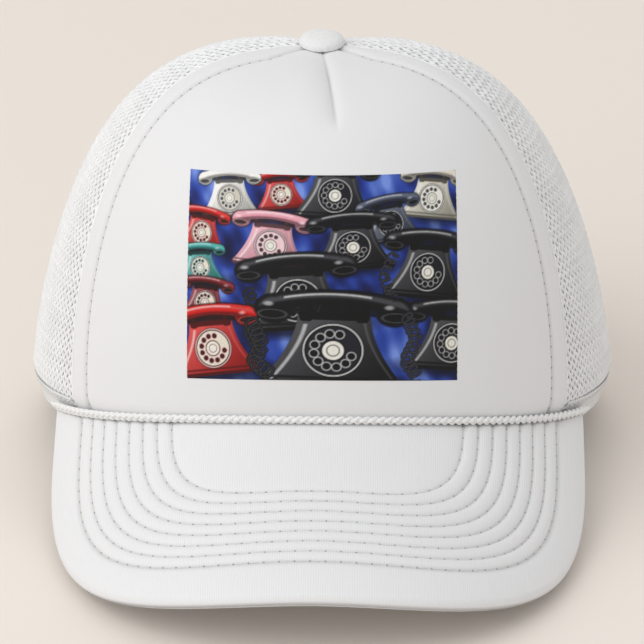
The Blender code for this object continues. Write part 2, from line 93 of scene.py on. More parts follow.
VISOR_SEAM_Z = 47.8 * MM
VISOR_SLOPE = math.radians(21.5)
VISOR_BEND = 112.0 * MM
VISOR_LENGTH = 71.5 * MM
VISOR_HALF_WIDTH = 100.5 * MM
VISOR_SIDE_BACK = 18.0 * MM
VISOR_SQUARENESS = 2.5
VISOR_SEAM_ANGLE = 63.0
VISOR_ARM_END = 37.0 * MM
COVER = 0.8 * MM
COVER_LIFT = 2.1 * MM
ROPE_ANGLE = 64.0
ROPE_STANDOFF = 2.2 * MM
ROPE_LIFT = 4.05 * MM
ROPE_HELD = 1.95 * MM

# --- Linings, rear opening and strap: the frame's own sizes ---

BAND_INSET = 4.2 * MM
BAND_TOP = 0.21
BAND_ANGLE = 142.4
PAD_ANGLE = 70.0
HEM_TOP = 0.06
HEM_END = 150.8
ARCH_HALF_ANGLE = 28.5
ARCH_HEIGHT = 52.0 * MM
ARCH_SQUARENESS = 3.0
STRAP = 1.2 * MM
STRAP_LOW = 2.0 * MM
STRAP_HIGH = 21.0 * MM
STRAP_INSET = 3.5 * MM
PEG_STRAP_INSET = 5.0 * MM
STRAP_ROOT_FROM = 37.0
STRAP_HINGE = 26.2
STRAP_TIP_OFF = -11.66
SNAP_FIRST = -7.86
SNAP_PITCH = 5.24
SNAP_COUNT = 7
BUTTON_RADIUS = 7.5 * MM
BUTTON_HEIGHT = 4.0 * MM

# --- Sizes that only the looks use ---

STRIP = 8.4 * MM
DART_TOP = 0.985
DART_END = 0.66
NET_TOP = 0.997
NET_FOOT = 0.004
HEM_FROM = 57.5
HEM_FULL = 68.0
HEM_WIDTH = 9.0 * MM
OPENING_TAPE_WIDTH = 8.0 * MM
HEM_ROW = 0.78
SEAM_TAPE_WIDTH = 14.0 * MM
SEAM_TAPE_ROWS = (-0.72, 0.72)
BAND_FOOT = 0.012
BAND_ROW = 0.86
TAG_MIDDLE = 133.0
TAG_WIDTH = 22.5 * MM
ROPE_SHADE = 0.7 * MM
STRAP_STEP = 8.0
STRAP_STITCHES_AT = (35.9, 34.6, 28.2)
# How square the visor's stitch rows are: the outermost, and what each row inwards adds.
ROW_SQUARENESS = (3.0, 0.09)
# The print, in millimetres: its size, and its middle's distance to the wearer's left.
PRINT_WIDTH = 90.0
PRINT_HEIGHT = 66.8
PRINT_MIDDLE = 1.7
DEGREES_IN_RADIAN = 57.3
# Stitch rows: one stitch with its gap, the gap, and the thread's radius.
FRONT_STITCH = (3.6 * MM, 0.9 * MM, 0.22 * MM)
# The needle pricks' painted shade: dark lenses, one with its gap, the gap, and the radius.
FRONT_PRICK_SHADE = (3.6 * MM, 2.8 * MM, 0.30 * MM)
HEM_STITCH = (3.0 * MM, 0.7 * MM, 0.26 * MM)
TAPE_STITCH = (3.0 * MM, 0.8 * MM, 0.24 * MM)
OPENING_STITCH = (3.0 * MM, 0.8 * MM, 0.26 * MM)
BAND_STITCH = (3.2 * MM, 0.8 * MM, 0.27 * MM)
TAG_STITCH = (2.4 * MM, 0.6 * MM, 0.2 * MM)
STRAP_STITCH = (2.6 * MM, 0.7 * MM, 0.26 * MM)

_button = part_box("top_button")
SHIFT = np.array(
    [0.0, (_button[0].y + _button[1].y) / 2 - APEX_Y, _button[0].z - GAP - APEX_Z]
)


# --- Crown surface ---


def visor_height(x, y):
    """The height of the visor's middle surface over a point of the plan."""
    drop = VISOR_BEND - math.sqrt(max(VISOR_BEND**2 - x * x, 0.0))
    return VISOR_SEAM_Z + (y + RIM_FRONT) * math.tan(VISOR_SLOPE) - drop / math.cos(VISOR_SLOPE)


def rim_plan(angle):
    a = math.radians(angle)
    depth = RIM_FRONT if math.cos(a) > 0 else RIM_BACK
    return RIM_HALF_WIDTH * math.sin(a), -depth * math.cos(a)


def rim_height(angle):
    angle = abs(angle)
    if angle <= VISOR_SEAM_ANGLE:
        return visor_height(*rim_plan(angle)) - COVER_LIFT
    start = visor_height(*rim_plan(VISOR_SEAM_ANGLE)) - COVER_LIFT
    slope = start - visor_height(*rim_plan(VISOR_SEAM_ANGLE - 1.0)) + COVER_LIFT
    span = REAR_FLAT_FROM - VISOR_SEAM_ANGLE
    t = min((angle - VISOR_SEAM_ANGLE) / span, 1.0)
    ease = 2 * t**3 - 3 * t**2 + 1
    carry = (t**3 - 2 * t**2 + t) * slope * span
    return REAR_RIM_HEIGHT + (start - REAR_RIM_HEIGHT) * ease + carry * (1 - t)


def meridian(angle, shares):
    """Points up the outer surface at these shares, and the length from the rim to the top hole."""
    a = math.radians(angle)
    front = max(math.cos(a), 0.0) ** 2
    back = max(-math.cos(a), 0.0) ** 1.1
    side = 1.0 - front - back
    wall = PROFILE_FRONT[0] * front + PROFILE_SIDE[0] * side + PROFILE_BACK[0] * back
    roof = PROFILE_FRONT[1] * front + PROFILE_SIDE[1] * side + PROFILE_BACK[1] * back
    t = np.linspace(0.0, 1.0, 161)
    reach = 1.0 - t**2.2
    height = (1.0 - reach**wall) ** roof
    x, y = rim_plan(angle)
    radius = math.hypot(x, y - APEX_Y)
    flare = FLARE * side * (1.0 - np.cos(np.pi * np.minimum(height / FLARE_HEIGHT, 1.0))) / 2
    scale = reach * (1.0 + flare / radius)
    low = rim_height(angle)
    points = np.stack(
        [x * scale, APEX_Y + (y - APEX_Y) * scale, low + (APEX_Z - low) * height], axis=1
    )
    along = np.concatenate([[0.0], np.cumsum(np.linalg.norm(np.diff(points, axis=0), axis=1))])
    length = along[-1] - APEX_HOLE
    found = [np.interp(shares * length, along, points[:, k]) for k in range(3)]
    return np.stack(found, axis=1), length


class Crown:
    """The crown's outer surface as a table, read between its entries."""

    TURN = 0.5
    ROWS = 401

    def __init__(self):
        angles = np.arange(0.0, 360.0, self.TURN)
        shares = np.linspace(0.0, 1.0, self.ROWS)
        found = [meridian((angle + 180.0) % 360.0 - 180.0, shares) for angle in angles]
        self.points = np.array([points for points, _ in found]) + SHIFT
        self.lengths = np.array([length for _, length in found])
        round_ = np.roll(self.points, -1, 0) - np.roll(self.points, 1, 0)
        self.per_degree = np.linalg.norm(round_, axis=2) / (2 * self.TURN)
        up = np.gradient(self.points, axis=1)
        normals = np.cross(round_, up)
        self.normals = normals / np.linalg.norm(normals, axis=2, keepdims=True)

    def read(self, table, angle, share):
        angle, share = np.broadcast_arrays(np.asarray(angle, float), np.asarray(share, float))
        a = np.mod(angle, 360.0) / self.TURN
        s = np.clip(share, 0.0, 1.0) * (self.ROWS - 1)
        i, j = np.floor(a).astype(int), np.minimum(np.floor(s).astype(int), self.ROWS - 2)
        fa, fs = a - i, s - j
        i = i % len(table)
        k = (i + 1) % len(table)
        if table.ndim == 3:
            fa, fs = fa[..., None], fs[..., None]
        low = table[i, j] * (1 - fa) + table[k, j] * fa
        high = table[i, j + 1] * (1 - fa) + table[k, j + 1] * fa
        return low * (1 - fs) + high * fs

    def at(self, angle, share, out=0.0):
        """Points at these places, moved outwards by out."""
        out = np.asarray(out, float)[..., None]
        return self.read(self.points, angle, share) + self.facing(angle, share) * out

    def facing(self, angle, share):
        normals = self.read(self.normals, angle, share)
        return normals / np.linalg.norm(normals, axis=-1, keepdims=True)

    def degree(self, angle, share):
        """The distance round the crown of one degree at these places."""
        return np.maximum(self.read(self.per_degree, angle, share), 1e-5)

    def length(self, angle):
        a = np.mod(np.asarray(angle, float), 360.0)
        angles = np.arange(len(self.lengths) + 1) * self.TURN
        return np.interp(a, angles, np.append(self.lengths, self.lengths[0]))

    def unrolled(self, middle, u, v):
        """Places on the crown of points of a flat cloth: u round from a middle angle, v up from the rim."""
        share = v / self.length(middle)
        angles = middle + np.arange(-80.0, 80.5, self.TURN)
        rows = np.linspace(0.0, 1.0, 81)
        steps = self.degree(angles[:, None], rows[None, :]) * self.TURN
        around = np.cumsum(steps, axis=0) - steps / 2
        around -= around[len(angles) // 2]
        u, share = np.broadcast_arrays(u, share)
        row = np.clip(share, 0, 1) * (len(rows) - 1)
        j = np.minimum(row.astype(int), len(rows) - 2)
        angle = np.zeros(u.shape)
        for k in range(len(rows) - 1):
            held = j == k
            if not held.any():
                continue
            low = np.interp(u[held], around[:, k], angles)
            high = np.interp(u[held], around[:, k + 1], angles)
            angle[held] = low + (high - low) * (row[held] - k)
        return angle, share


CROWN = Crown()


def level(value):
    """A line or a width that keeps one value all the way along."""
    return lambda share: value + np.zeros_like(share)


def front_seam(share):
    return 55.5 + 14.0 * share + 12.0 * share**4


def arch_curve(turn):
    """Places on the rear opening's edge, for turns from 0 (left foot) to 180 (right foot)."""
    c, s = np.cos(np.radians(turn)), np.sin(np.radians(turn))
    power = 2.0 / ARCH_SQUARENESS
    angle = 180.0 - ARCH_HALF_ANGLE * np.copysign(np.abs(c) ** power, c)
    return angle, np.abs(s) ** power * ARCH_HEIGHT / CROWN.length(angle)


def arch_place(turn, away):
    """Places beside the opening's edge, this far away from the opening along the wall."""
    angle, s = arch_curve(turn)
    before, after = arch_curve(turn - 1.0), arch_curve(turn + 1.0)
    degree, length = CROWN.degree(angle, s), CROWN.length(angle)
    du, dv = (after[0] - before[0]) * degree, (after[1] - before[1]) * length
    size = np.hypot(du, dv)
    return angle - dv / size * away / degree, s + du / size * away / length


def arch_share(angle):
    off = np.minimum(np.abs(180.0 - np.mod(angle, 360.0)) / ARCH_HALF_ANGLE, 1.0)
    rise = (1.0 - off**ARCH_SQUARENESS) ** (1.0 / ARCH_SQUARENESS)
    return ARCH_HEIGHT / CROWN.length(angle) * rise


# --- Visor surface ---


def visor_point(v, u, lift=0.0):
    """Points of the bent visor: v across and u forward on its flat pattern, lift over its middle."""
    v, u, lift = np.broadcast_arrays(np.asarray(v, float), u, lift)
    turn = v / VISOR_BEND
    radius = VISOR_BEND + lift
    drop = VISOR_BEND - radius * np.cos(turn)
    forward = u * math.cos(VISOR_SLOPE) - drop * math.sin(VISOR_SLOPE)
    z = VISOR_SEAM_Z - u * math.sin(VISOR_SLOPE) - drop * math.cos(VISOR_SLOPE)
    return np.stack([radius * np.sin(turn), -RIM_FRONT - forward, z], axis=-1) + SHIFT


def visor_inner(angle, clear):
    """The flat-pattern places where the visor meets the crown, held off by clear."""
    a = np.radians(angle)
    x, y = RIM_HALF_WIDTH * np.sin(a), -RIM_FRONT * np.cos(a)
    out_x, out_y = np.sin(a) / RIM_HALF_WIDTH, -np.cos(a) / RIM_FRONT
    size = np.hypot(out_x, out_y)
    x, y = x + out_x / size * clear, y + out_y / size * clear
    v = VISOR_BEND * np.arcsin(x / VISOR_BEND)
    drop = VISOR_BEND * (1.0 - np.cos(v / VISOR_BEND))
    return v, (-RIM_FRONT - y + drop * math.sin(VISOR_SLOPE)) / math.cos(VISOR_SLOPE)


def visor_lean(angle):
    bend = visor_inner(angle, 0.0)[0] / VISOR_BEND
    return np.hypot(np.sin(bend), np.cos(bend) * math.sin(VISOR_SLOPE))


def visor_line(side_in, front_in, square=VISOR_SQUARENESS, count=181):
    """A line parallel to the visor's outer edge, from the right arm to the left, as (v, u)."""
    half, front = VISOR_HALF_WIDTH - side_in, VISOR_LENGTH + VISOR_SIDE_BACK - front_in
    power = 2.0 / square
    turns = np.radians(np.linspace(0.0, 90.0, count))
    v = half * np.sin(turns) ** power
    u = front * np.abs(np.cos(turns)) ** power - VISOR_SIDE_BACK
    arm = np.linspace(-VISOR_SIDE_BACK, -VISOR_ARM_END, 30)[1:]
    v, u = np.append(v, np.full(len(arm), half)), np.append(u, arm)
    return np.concatenate([-v[:0:-1], v]), np.concatenate([u[:0:-1], u])


def visor_outer(share):
    v, u = visor_line(0.0, 0.0)
    along = np.concatenate([[0.0], np.cumsum(np.hypot(np.diff(v), np.diff(u)))])
    at = (share + 1.0) / 2.0 * along[-1]
    return np.interp(at, along, v), np.interp(at, along, u)


def visor_depth(v, u, side_step, front_step, low, high, square=level(VISOR_SQUARENESS)):
    """Which line of a family parallel to the edge each place lies on, found by halving."""
    low, high = np.full(v.shape, low), np.full(v.shape, high)
    for _ in range(26):
        middle = (low + high) / 2
        half = VISOR_HALF_WIDTH - side_step(middle)
        front = VISOR_LENGTH + VISOR_SIDE_BACK - front_step(middle)
        ahead = np.maximum(u + VISOR_SIDE_BACK, 0.0) / np.maximum(front, 1e-4)
        across = np.abs(v) / np.maximum(half, 1e-4)
        outside = across ** square(middle) + ahead ** square(middle) > 1.0
        high, low = np.where(outside, middle, high), np.where(outside, low, middle)
    return (low + high) / 2


# --- Meshes ---


def add_object(name, mesh):
    obj = bpy.data.objects.new(name, mesh)
    bpy.context.scene.collection.objects.link(obj)
    return obj


def mesh_object(name, points, faces, fields=None, smooth=True, edges=()):
    """A mesh object with point fields: three numbers for a vector, four for a colour, one for a value."""
    mesh = bpy.data.meshes.new(name)
    mesh.from_pydata(np.asarray(points, float).tolist(), list(edges), faces)
    for label, values in (fields or {}).items():
        values = np.asarray(values, np.float32)
        width = 1 if values.ndim == 1 else values.shape[1]
        kind, key = {
            1: ("FLOAT", "value"), 3: ("FLOAT_VECTOR", "vector"), 4: ("FLOAT_COLOR", "color"),
        }[width]
        attribute = mesh.attributes.new(label, kind, "POINT")
        attribute.data.foreach_set(key, values.ravel())
    if smooth and len(mesh.polygons):
        mesh.shade_smooth()
    mesh.update()
    return add_object(name, mesh)


def shell(name, outer, inner, step=1, fields=None, flip=False):
    """A closed shell of two grids of points; the inner one keeps only each step-th row and column."""
    columns, rows = outer.shape[:2]
    number = np.arange(columns * rows).reshape(columns, rows)
    small = inner[::step, ::step]
    below = np.arange(small.shape[0] * small.shape[1]).reshape(small.shape[:2]) + columns * rows
    faces = []

    def quads(grid, turned):
        a, b, c, d = grid[:-1, :-1], grid[1:, :-1], grid[1:, 1:], grid[:-1, 1:]
        order = (a, d, c, b) if turned else (a, b, c, d)
        return np.stack([part.ravel() for part in order], axis=1).tolist()

    faces += quads(number, flip)
    faces += quads(below, not flip)

    def skirt(line, under, turned):
        for k in range(len(under) - 1):
            face = [int(n) for n in line[k * step : (k + 1) * step + 1]]
            face = face[::-1] + [int(under[k]), int(under[k + 1])]
            faces.append(face[::-1] if turned else face)

    skirt(number[:, 0], below[:, 0], flip)
    skirt(number[:, -1], below[:, -1], not flip)
    skirt(number[0, :], below[0, :], not flip)
    skirt(number[-1, :], below[-1, :], flip)
    points = np.concatenate([outer.reshape(-1, 3), small.reshape(-1, 3)])
    spread_fields = {}
    for label, values in (fields or {}).items():
        flat = values.reshape(columns * rows, -1)
        held = values[::step, ::step].reshape(small.shape[0] * small.shape[1], -1)
        joined = np.concatenate([flat, held])
        spread_fields[label] = joined[:, 0] if joined.shape[1] == 1 else joined
    return mesh_object(name, points, faces, spread_fields)


def loft(name, rings, fields=None, flip=False):
    """A closed bar of equal rings of points, with flat ends."""
    count, size = rings.shape[:2]
    number = np.arange(count * size).reshape(count, size)
    after = np.roll(number, -1, axis=1)
    sides = np.stack([number[:-1], after[:-1], after[1:], number[1:]], axis=-1).reshape(-1, 4)
    ends = [number[0, ::-1].tolist(), number[-1].tolist()]
    faces = sides.tolist() + ends
    if flip:
        faces = [face[::-1] for face in faces]
    flat = {label: values.reshape(count * size, -1) for label, values in (fields or {}).items()}
    flat = {label: v[:, 0] if v.shape[1] == 1 else v for label, v in flat.items()}
    return mesh_object(name, rings.reshape(-1, 3), faces, flat)


def cloth_field(across, along):
    """Places on the flat cloth, which the materials read."""
    across, along = np.broadcast_arrays(across, along)
    return np.stack([across, along, np.zeros(across.shape)], axis=-1)


def kept_runs(points, kept):
    """The unbroken runs of kept points that have more than two."""
    ends = np.flatnonzero(np.diff(np.concatenate([[0], kept.astype(int), [0]])))
    return [points[a:b] for a, b in zip(ends[::2], ends[1::2]) if b - a > 2]


def lines_object(name, lines, fields=None):
    """Polylines as a mesh of points and edges, which the node trees turn into thread and cord."""
    points = np.concatenate(lines)
    edges, first = [], 0
    for line in lines:
        edges += [(first + k, first + k + 1) for k in range(len(line) - 1)]
        first += len(line)
    return mesh_object(name, points, [], fields, smooth=False, edges=edges)


def face_out(obj):
    """Turns every face of a closed mesh outwards."""
    bm = bmesh.new()
    bm.from_mesh(obj.data)
    bmesh.ops.recalc_face_normals(bm, faces=bm.faces)
    bm.to_mesh(obj.data)
    bm.free()
    return obj


def smoothstep(low, high, value):
    t = np.clip((value - low) / (high - low), 0.0, 1.0)
    return t * t * (3.0 - 2.0 * t)


def dip(distance, width):
    return np.exp(-((distance / width) ** 2))


def rolled(distance, radius):
    """How far a rounded edge falls, from nothing at radius inside it to the radius at the edge."""
    t = np.clip(distance / radius, 0.0, 1.0)
    return radius * (1.0 - np.sqrt(np.maximum(1.0 - (1.0 - t) ** 2, 0.0)))


def dress(obj, material, body="cap", replaces=()):
    """Gives a finished piece its material and its body, and hides the frame's nodes that it stands for."""
    obj.data.materials.clear()
    obj.data.materials.append(material)
    if body:
        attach(obj, body)
    if replaces:
        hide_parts(*replaces)
    return obj


def repaint(node, kind):
    """Gives one of the frame's own shown nodes its finish."""
    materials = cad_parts[node].data.materials
    materials.clear()
    materials.append(finish_of(kind))


# --- Node trees ---


def geometry_tree(name, inputs):
    tree = bpy.data.node_groups.new(name, "GeometryNodeTree")
    tree.interface.new_socket("Geometry", in_out="INPUT", socket_type="NodeSocketGeometry")
    for label, kind, value in inputs:
        socket = tree.interface.new_socket(label, in_out="INPUT", socket_type=kind)
        if value is not None:
            socket.default_value = value
    tree.interface.new_socket("Geometry", in_out="OUTPUT", socket_type="NodeSocketGeometry")
    return tree


class Wiring:
    """Adds nodes to a tree and joins their sockets."""

    def __init__(self, tree):
        self.tree = tree

    def add(self, kind, settings=None, **sockets):
        node = self.tree.nodes.new(kind)
        for key, value in (settings or {}).items():
            setattr(node, key, value)
        for key, value in sockets.items():
            label = key.replace("_", " ")
            number = label.rsplit(" ", 1)
            if label in node.inputs:
                socket = node.inputs[label]
            else:
                socket = node.inputs[int(number[1])]
            if isinstance(value, bpy.types.NodeSocket):
                self.tree.links.new(value, socket)
            else:
                socket.default_value = value
        return node


def cord_tree():
    """Round cord along every polyline."""
    tree = geometry_tree("Cord along lines", [
        ("Radius", "NodeSocketFloat", 0.0005),
        ("Sides", "NodeSocketInt", 6),
        ("Material", "NodeSocketMaterial", None),
    ])
    wire = Wiring(tree)
    given = wire.add("NodeGroupInput").outputs
    curve = wire.add("GeometryNodeMeshToCurve", Mesh=given["Geometry"])
    circle = wire.add(
        "GeometryNodeCurvePrimitiveCircle", Resolution=given["Sides"], Radius=given["Radius"]
    )
    tube = wire.add(
        "GeometryNodeCurveToMesh", Curve=curve.outputs[0],
        Profile_Curve=circle.outputs["Curve"], Fill_Caps=True,
    )
    smooth = wire.add("GeometryNodeSetShadeSmooth", Geometry=tube.outputs[0])
    real = wire.add("GeometryNodeRealizeInstances", Geometry=smooth.outputs[0])
    made = wire.add(
        "GeometryNodeSetMaterial", Geometry=real.outputs[0], Material=given["Material"]
    )
    wire.add("NodeGroupOutput", Geometry=made.outputs[0])
    return tree


def stitch_tree():
    """A row of lens-shaped stitches along every polyline."""
    tree = geometry_tree("Stitch row", [
        ("Stitch Length", "NodeSocketFloat", 0.003),
        ("Gap", "NodeSocketFloat", 0.0008),
        ("Thread Radius", "NodeSocketFloat", 0.0003),
        ("Material", "NodeSocketMaterial", None),
    ])
    wire = Wiring(tree)
    given = wire.add("NodeGroupInput").outputs
    curve = wire.add("GeometryNodeMeshToCurve", Mesh=given["Geometry"])
    points = wire.add(
        "GeometryNodeCurveToPoints", {"mode": "LENGTH"},
        Curve=curve.outputs[0], Length=given["Stitch Length"],
    )
    thread = wire.add("GeometryNodeMeshUVSphere", Segments=6, Rings=5, Radius=1.0)
    shown = wire.add(
        "ShaderNodeMath", {"operation": "SUBTRACT"},
        socket_0=given["Stitch Length"], socket_1=given["Gap"],
    )
    half = wire.add(
        "ShaderNodeMath", {"operation": "MULTIPLY"}, socket_0=shown.outputs[0], socket_1=0.5
    )
    size = wire.add(
        "ShaderNodeCombineXYZ",
        X=given["Thread Radius"], Y=given["Thread Radius"], Z=half.outputs[0],
    )
    row = wire.add(
        "GeometryNodeInstanceOnPoints", Points=points.outputs["Points"],
        Instance=thread.outputs["Mesh"], Rotation=points.outputs["Rotation"],
        Scale=size.outputs[0],
    )
    real = wire.add("GeometryNodeRealizeInstances", Geometry=row.outputs[0])
    smooth = wire.add("GeometryNodeSetShadeSmooth", Geometry=real.outputs[0])
    made = wire.add(
        "GeometryNodeSetMaterial", Geometry=smooth.outputs[0], Material=given["Material"]
    )
    wire.add("NodeGroupOutput", Geometry=made.outputs[0])
    return tree


def repeat_tree(name, inputs, make):
    """A small shape at every point, its Z along the point's facing field."""
    tree = geometry_tree(name, inputs + [("Material", "NodeSocketMaterial", None)])
    wire = Wiring(tree)
    given = wire.add("NodeGroupInput").outputs
    points = wire.add("GeometryNodeMeshToPoints", Mesh=given["Geometry"])
    facing = wire.add("GeometryNodeInputNamedAttribute", {"data_type": "FLOAT_VECTOR"}, Name="facing")
    turn = wire.add(
        "FunctionNodeAlignRotationToVector", {"axis": "Z"}, Vector=facing.outputs["Attribute"]
    )
    copies = wire.add(
        "GeometryNodeInstanceOnPoints", Points=points.outputs[0],
        Instance=make(wire, given), Rotation=turn.outputs[0],
    )
    real = wire.add("GeometryNodeRealizeInstances", Geometry=copies.outputs[0])
    smooth = wire.add("GeometryNodeSetShadeSmooth", Geometry=real.outputs[0])
    made = wire.add(
        "GeometryNodeSetMaterial", Geometry=smooth.outputs[0], Material=given["Material"]
    )
    wire.add("NodeGroupOutput", Geometry=made.outputs[0])
    return tree


def ring_shape(wire, given):
    """A round lip, as stands round a hole."""
    path = wire.add("GeometryNodeCurvePrimitiveCircle", Resolution=28, Radius=given["Radius"])
    lip = wire.add("GeometryNodeCurvePrimitiveCircle", Resolution=6, Radius=given["Lip"])
    return wire.add(
        "GeometryNodeCurveToMesh", Curve=path.outputs["Curve"], Profile_Curve=lip.outputs["Curve"]
    ).outputs[0]


def peg_shape(wire, given):
    """A snap peg: a short shank and a rounded head."""
    shank = wire.add(
        "GeometryNodeMeshCylinder", Vertices=20, Radius=given["Shank"], Depth=given["Height"]
    )
    up = wire.add(
        "ShaderNodeMath", {"operation": "MULTIPLY"}, socket_0=given["Height"], socket_1=0.5
    )
    place = wire.add("ShaderNodeCombineXYZ", Z=up.outputs[0])
    shank = wire.add(
        "GeometryNodeTransform", Geometry=shank.outputs["Mesh"], Translation=place.outputs[0]
    )
    head = wire.add("GeometryNodeMeshUVSphere", Segments=20, Rings=10, Radius=given["Head"])
    top = wire.add("ShaderNodeCombineXYZ", Z=given["Height"])
    head = wire.add(
        "GeometryNodeTransform", Geometry=head.outputs["Mesh"],
        Translation=top.outputs[0], Scale=(1.0, 1.0, 0.45),
    )
    both = wire.add("GeometryNodeJoinGeometry")
    wire.tree.links.new(shank.outputs[0], both.inputs[0])
    wire.tree.links.new(head.outputs[0], both.inputs[0])
    return both.outputs[0]


TREES = {}


def tree_of(kind):
    """The node tree of this kind, made when it is first asked for."""
    if kind not in TREES:
        if kind == "cord":
            TREES[kind] = cord_tree()
        elif kind == "stitch":
            TREES[kind] = stitch_tree()
        elif kind == "ring":
            sizes = [("Radius", "NodeSocketFloat", 0.003), ("Lip", "NodeSocketFloat", 0.0003)]
            TREES[kind] = repeat_tree("Lips round holes", sizes, ring_shape)
        else:
            sizes = [
                ("Shank", "NodeSocketFloat", 0.0016), ("Head", "NodeSocketFloat", 0.0023),
                ("Height", "NodeSocketFloat", 0.002),
            ]
            TREES[kind] = repeat_tree("Snap pegs", sizes, peg_shape)
    return TREES[kind]


def grown(source, kind, **values):
    """Runs a node tree on a helper mesh and returns the plain mesh object that it makes."""
    tree = tree_of(kind)
    modifier = source.modifiers.new("Tree", "NODES")
    modifier.node_group = tree
    names = {item.name: item.identifier for item in tree.interface.items_tree if item.in_out == "INPUT"}
    for label, value in values.items():
        modifier[names[label.replace("_", " ")]] = value
    bpy.context.view_layer.update()
    graph = bpy.context.evaluated_depsgraph_get()
    mesh = bpy.data.meshes.new_from_object(source.evaluated_get(graph))
    name = source.name
    bpy.data.objects.remove(source)
    obj = add_object(name + "_made", mesh)
    obj.name = name
    if not len(mesh.polygons):
        raise RuntimeError(name + ": its node tree made no faces")
    return obj


def after_half(line, length):
    """The line without its first half stitch."""
    along = np.concatenate([[0.0], np.cumsum(np.linalg.norm(np.diff(line, axis=0), axis=1))])
    at = np.linspace(length / 2, along[-1], len(line))
    return np.stack([np.interp(at, along, line[:, k]) for k in range(3)], axis=1)


def stitches(name, lines, length, gap, radius, material, body="cap"):
    source = lines_object(name, lines)
    obj = grown(
        source, "stitch", Stitch_Length=length, Gap=gap, Thread_Radius=radius, Material=material
    )
    obj.data.materials.clear()
    return dress(obj, material, body)


def cords(name, lines, radius, sides, material, body="cap", replaces=()):
    obj = grown(lines_object(name, lines), "cord", Radius=radius, Sides=sides, Material=material)
    return dress(obj, material, body, replaces)


# --- Materials ---


def new_material(name, colour, roughness, **settings):
    """A Principled material; settings are values on its own sockets."""
    material = bpy.data.materials.new(name)
    material.use_nodes = True
    shader = material.node_tree.nodes["Principled BSDF"]
    shader.inputs["Base Color"].default_value = (*colour, 1.0)
    shader.inputs["Roughness"].default_value = roughness
    for key, value in settings.items():
        shader.inputs[key.replace("_", " ")].default_value = value
    return material, Wiring(material.node_tree), shader


def cloth_place(wire):
    """The piece's own cloth field: millimetres along and across the cloth."""
    return wire.add("ShaderNodeAttribute", {"attribute_name": "cloth"}).outputs["Vector"]


def object_place(wire):
    return wire.add("ShaderNodeTexCoord").outputs["Object"]


def scaled(wire, place, x, y, z):
    return wire.add("ShaderNodeMapping", Vector=place, Scale=(x, y, z)).outputs[0]


def ribs(wire, place, direction, scale, distortion=0.0, detail=0.0):
    wave = wire.add(
        "ShaderNodeTexWave", {"wave_type": "BANDS", "bands_direction": direction},
        Vector=place, Scale=scale, Distortion=distortion, Detail=detail,
    )
    return wave.outputs["Fac"]


def noise(wire, place, scale, detail=4.0, roughness=0.6):
    made = wire.add(
        "ShaderNodeTexNoise", Vector=place, Scale=scale, Detail=detail, Roughness=roughness
    )
    return made.outputs["Fac"]


def mixed(wire, a, b, factor=0.5):
    """Two grey values mixed."""
    node = wire.add("ShaderNodeMix", {"data_type": "FLOAT"})
    node.inputs["Factor"].default_value = factor
    for socket, value in ((node.inputs["A"], a), (node.inputs["B"], b)):
        if isinstance(value, bpy.types.NodeSocket):
            wire.tree.links.new(value, socket)
        else:
            socket.default_value = value
    return node.outputs["Result"]


def tinted(wire, factor, dark, light, low=0.0, high=1.0):
    """A colour between dark and light as the factor goes from low to high."""
    ramp = wire.add("ShaderNodeValToRGB", Fac=factor)
    ramp.color_ramp.elements[0].position = low
    ramp.color_ramp.elements[0].color = (*dark, 1.0)
    ramp.color_ramp.elements[1].position = high
    ramp.color_ramp.elements[1].color = (*light, 1.0)
    return ramp.outputs["Color"]


def bumped(wire, shader, height, strength, distance):
    bump = wire.add("ShaderNodeBump", Height=height, Strength=strength, Distance=distance)
    wire.tree.links.new(bump.outputs[0], shader.inputs["Normal"])


def darker(colour, share):
    return tuple(part * share for part in colour)


def with_painted_shade(wire, colour_socket, colour, share):
    """The colour, darkened where the piece's seam field is high: painted shade in grooves, creases and
    stitch lines.
    """
    seam = wire.add("ShaderNodeAttribute", {"attribute_name": "seam"}).outputs["Fac"]
    node = wire.add("ShaderNodeMix", {"data_type": "RGBA"})
    wire.tree.links.new(seam, node.inputs[0])
    wire.tree.links.new(colour_socket, node.inputs[6])
    node.inputs[7].default_value = (*darker(colour, share), 1.0)
    return node.outputs[2]


def foam_cloth(colour):
    """Brushed jersey laminated to foam: a very fine knit with a soft nap."""
    material, wire, shader = new_material(
        "foam_cloth", colour, 0.92, Sheen_Weight=0.25, Sheen_Roughness=0.6, Specular_IOR_Level=0.25
    )
    place = cloth_place(wire)
    knit = mixed(wire, ribs(wire, scaled(wire, place, 1, 1, 1), "X", 0.85, 1.2), noise(wire, place, 2.2))
    cloud = noise(wire, object_place(wire), 18.0, 3.0)
    tone = tinted(wire, mixed(wire, knit, cloud, 0.4), darker(colour, 0.955), colour, 0.3, 0.7)
    wire.tree.links.new(with_painted_shade(wire, tone, colour, 0.60), shader.inputs["Base Color"])
    bumped(wire, shader, knit, 0.22, 0.00025)
    return material


def mesh_yarn(colour):
    """Polyester net: smooth yarn with its chain of loops."""
    material, wire, shader = new_material(
        "mesh_yarn", colour, 0.70, Sheen_Weight=0.35, Sheen_Roughness=0.5, Specular_IOR_Level=0.35
    )
    place = object_place(wire)
    loops = mixed(wire, ribs(wire, place, "DIAGONAL", 620.0, 2.0), noise(wire, place, 1500.0))
    tone = tinted(wire, noise(wire, place, 90.0), darker(colour, 0.92), colour, 0.3, 0.7)
    wire.tree.links.new(tone, shader.inputs["Base Color"])
    bumped(wire, shader, loops, 0.5, 0.0002)
    return material


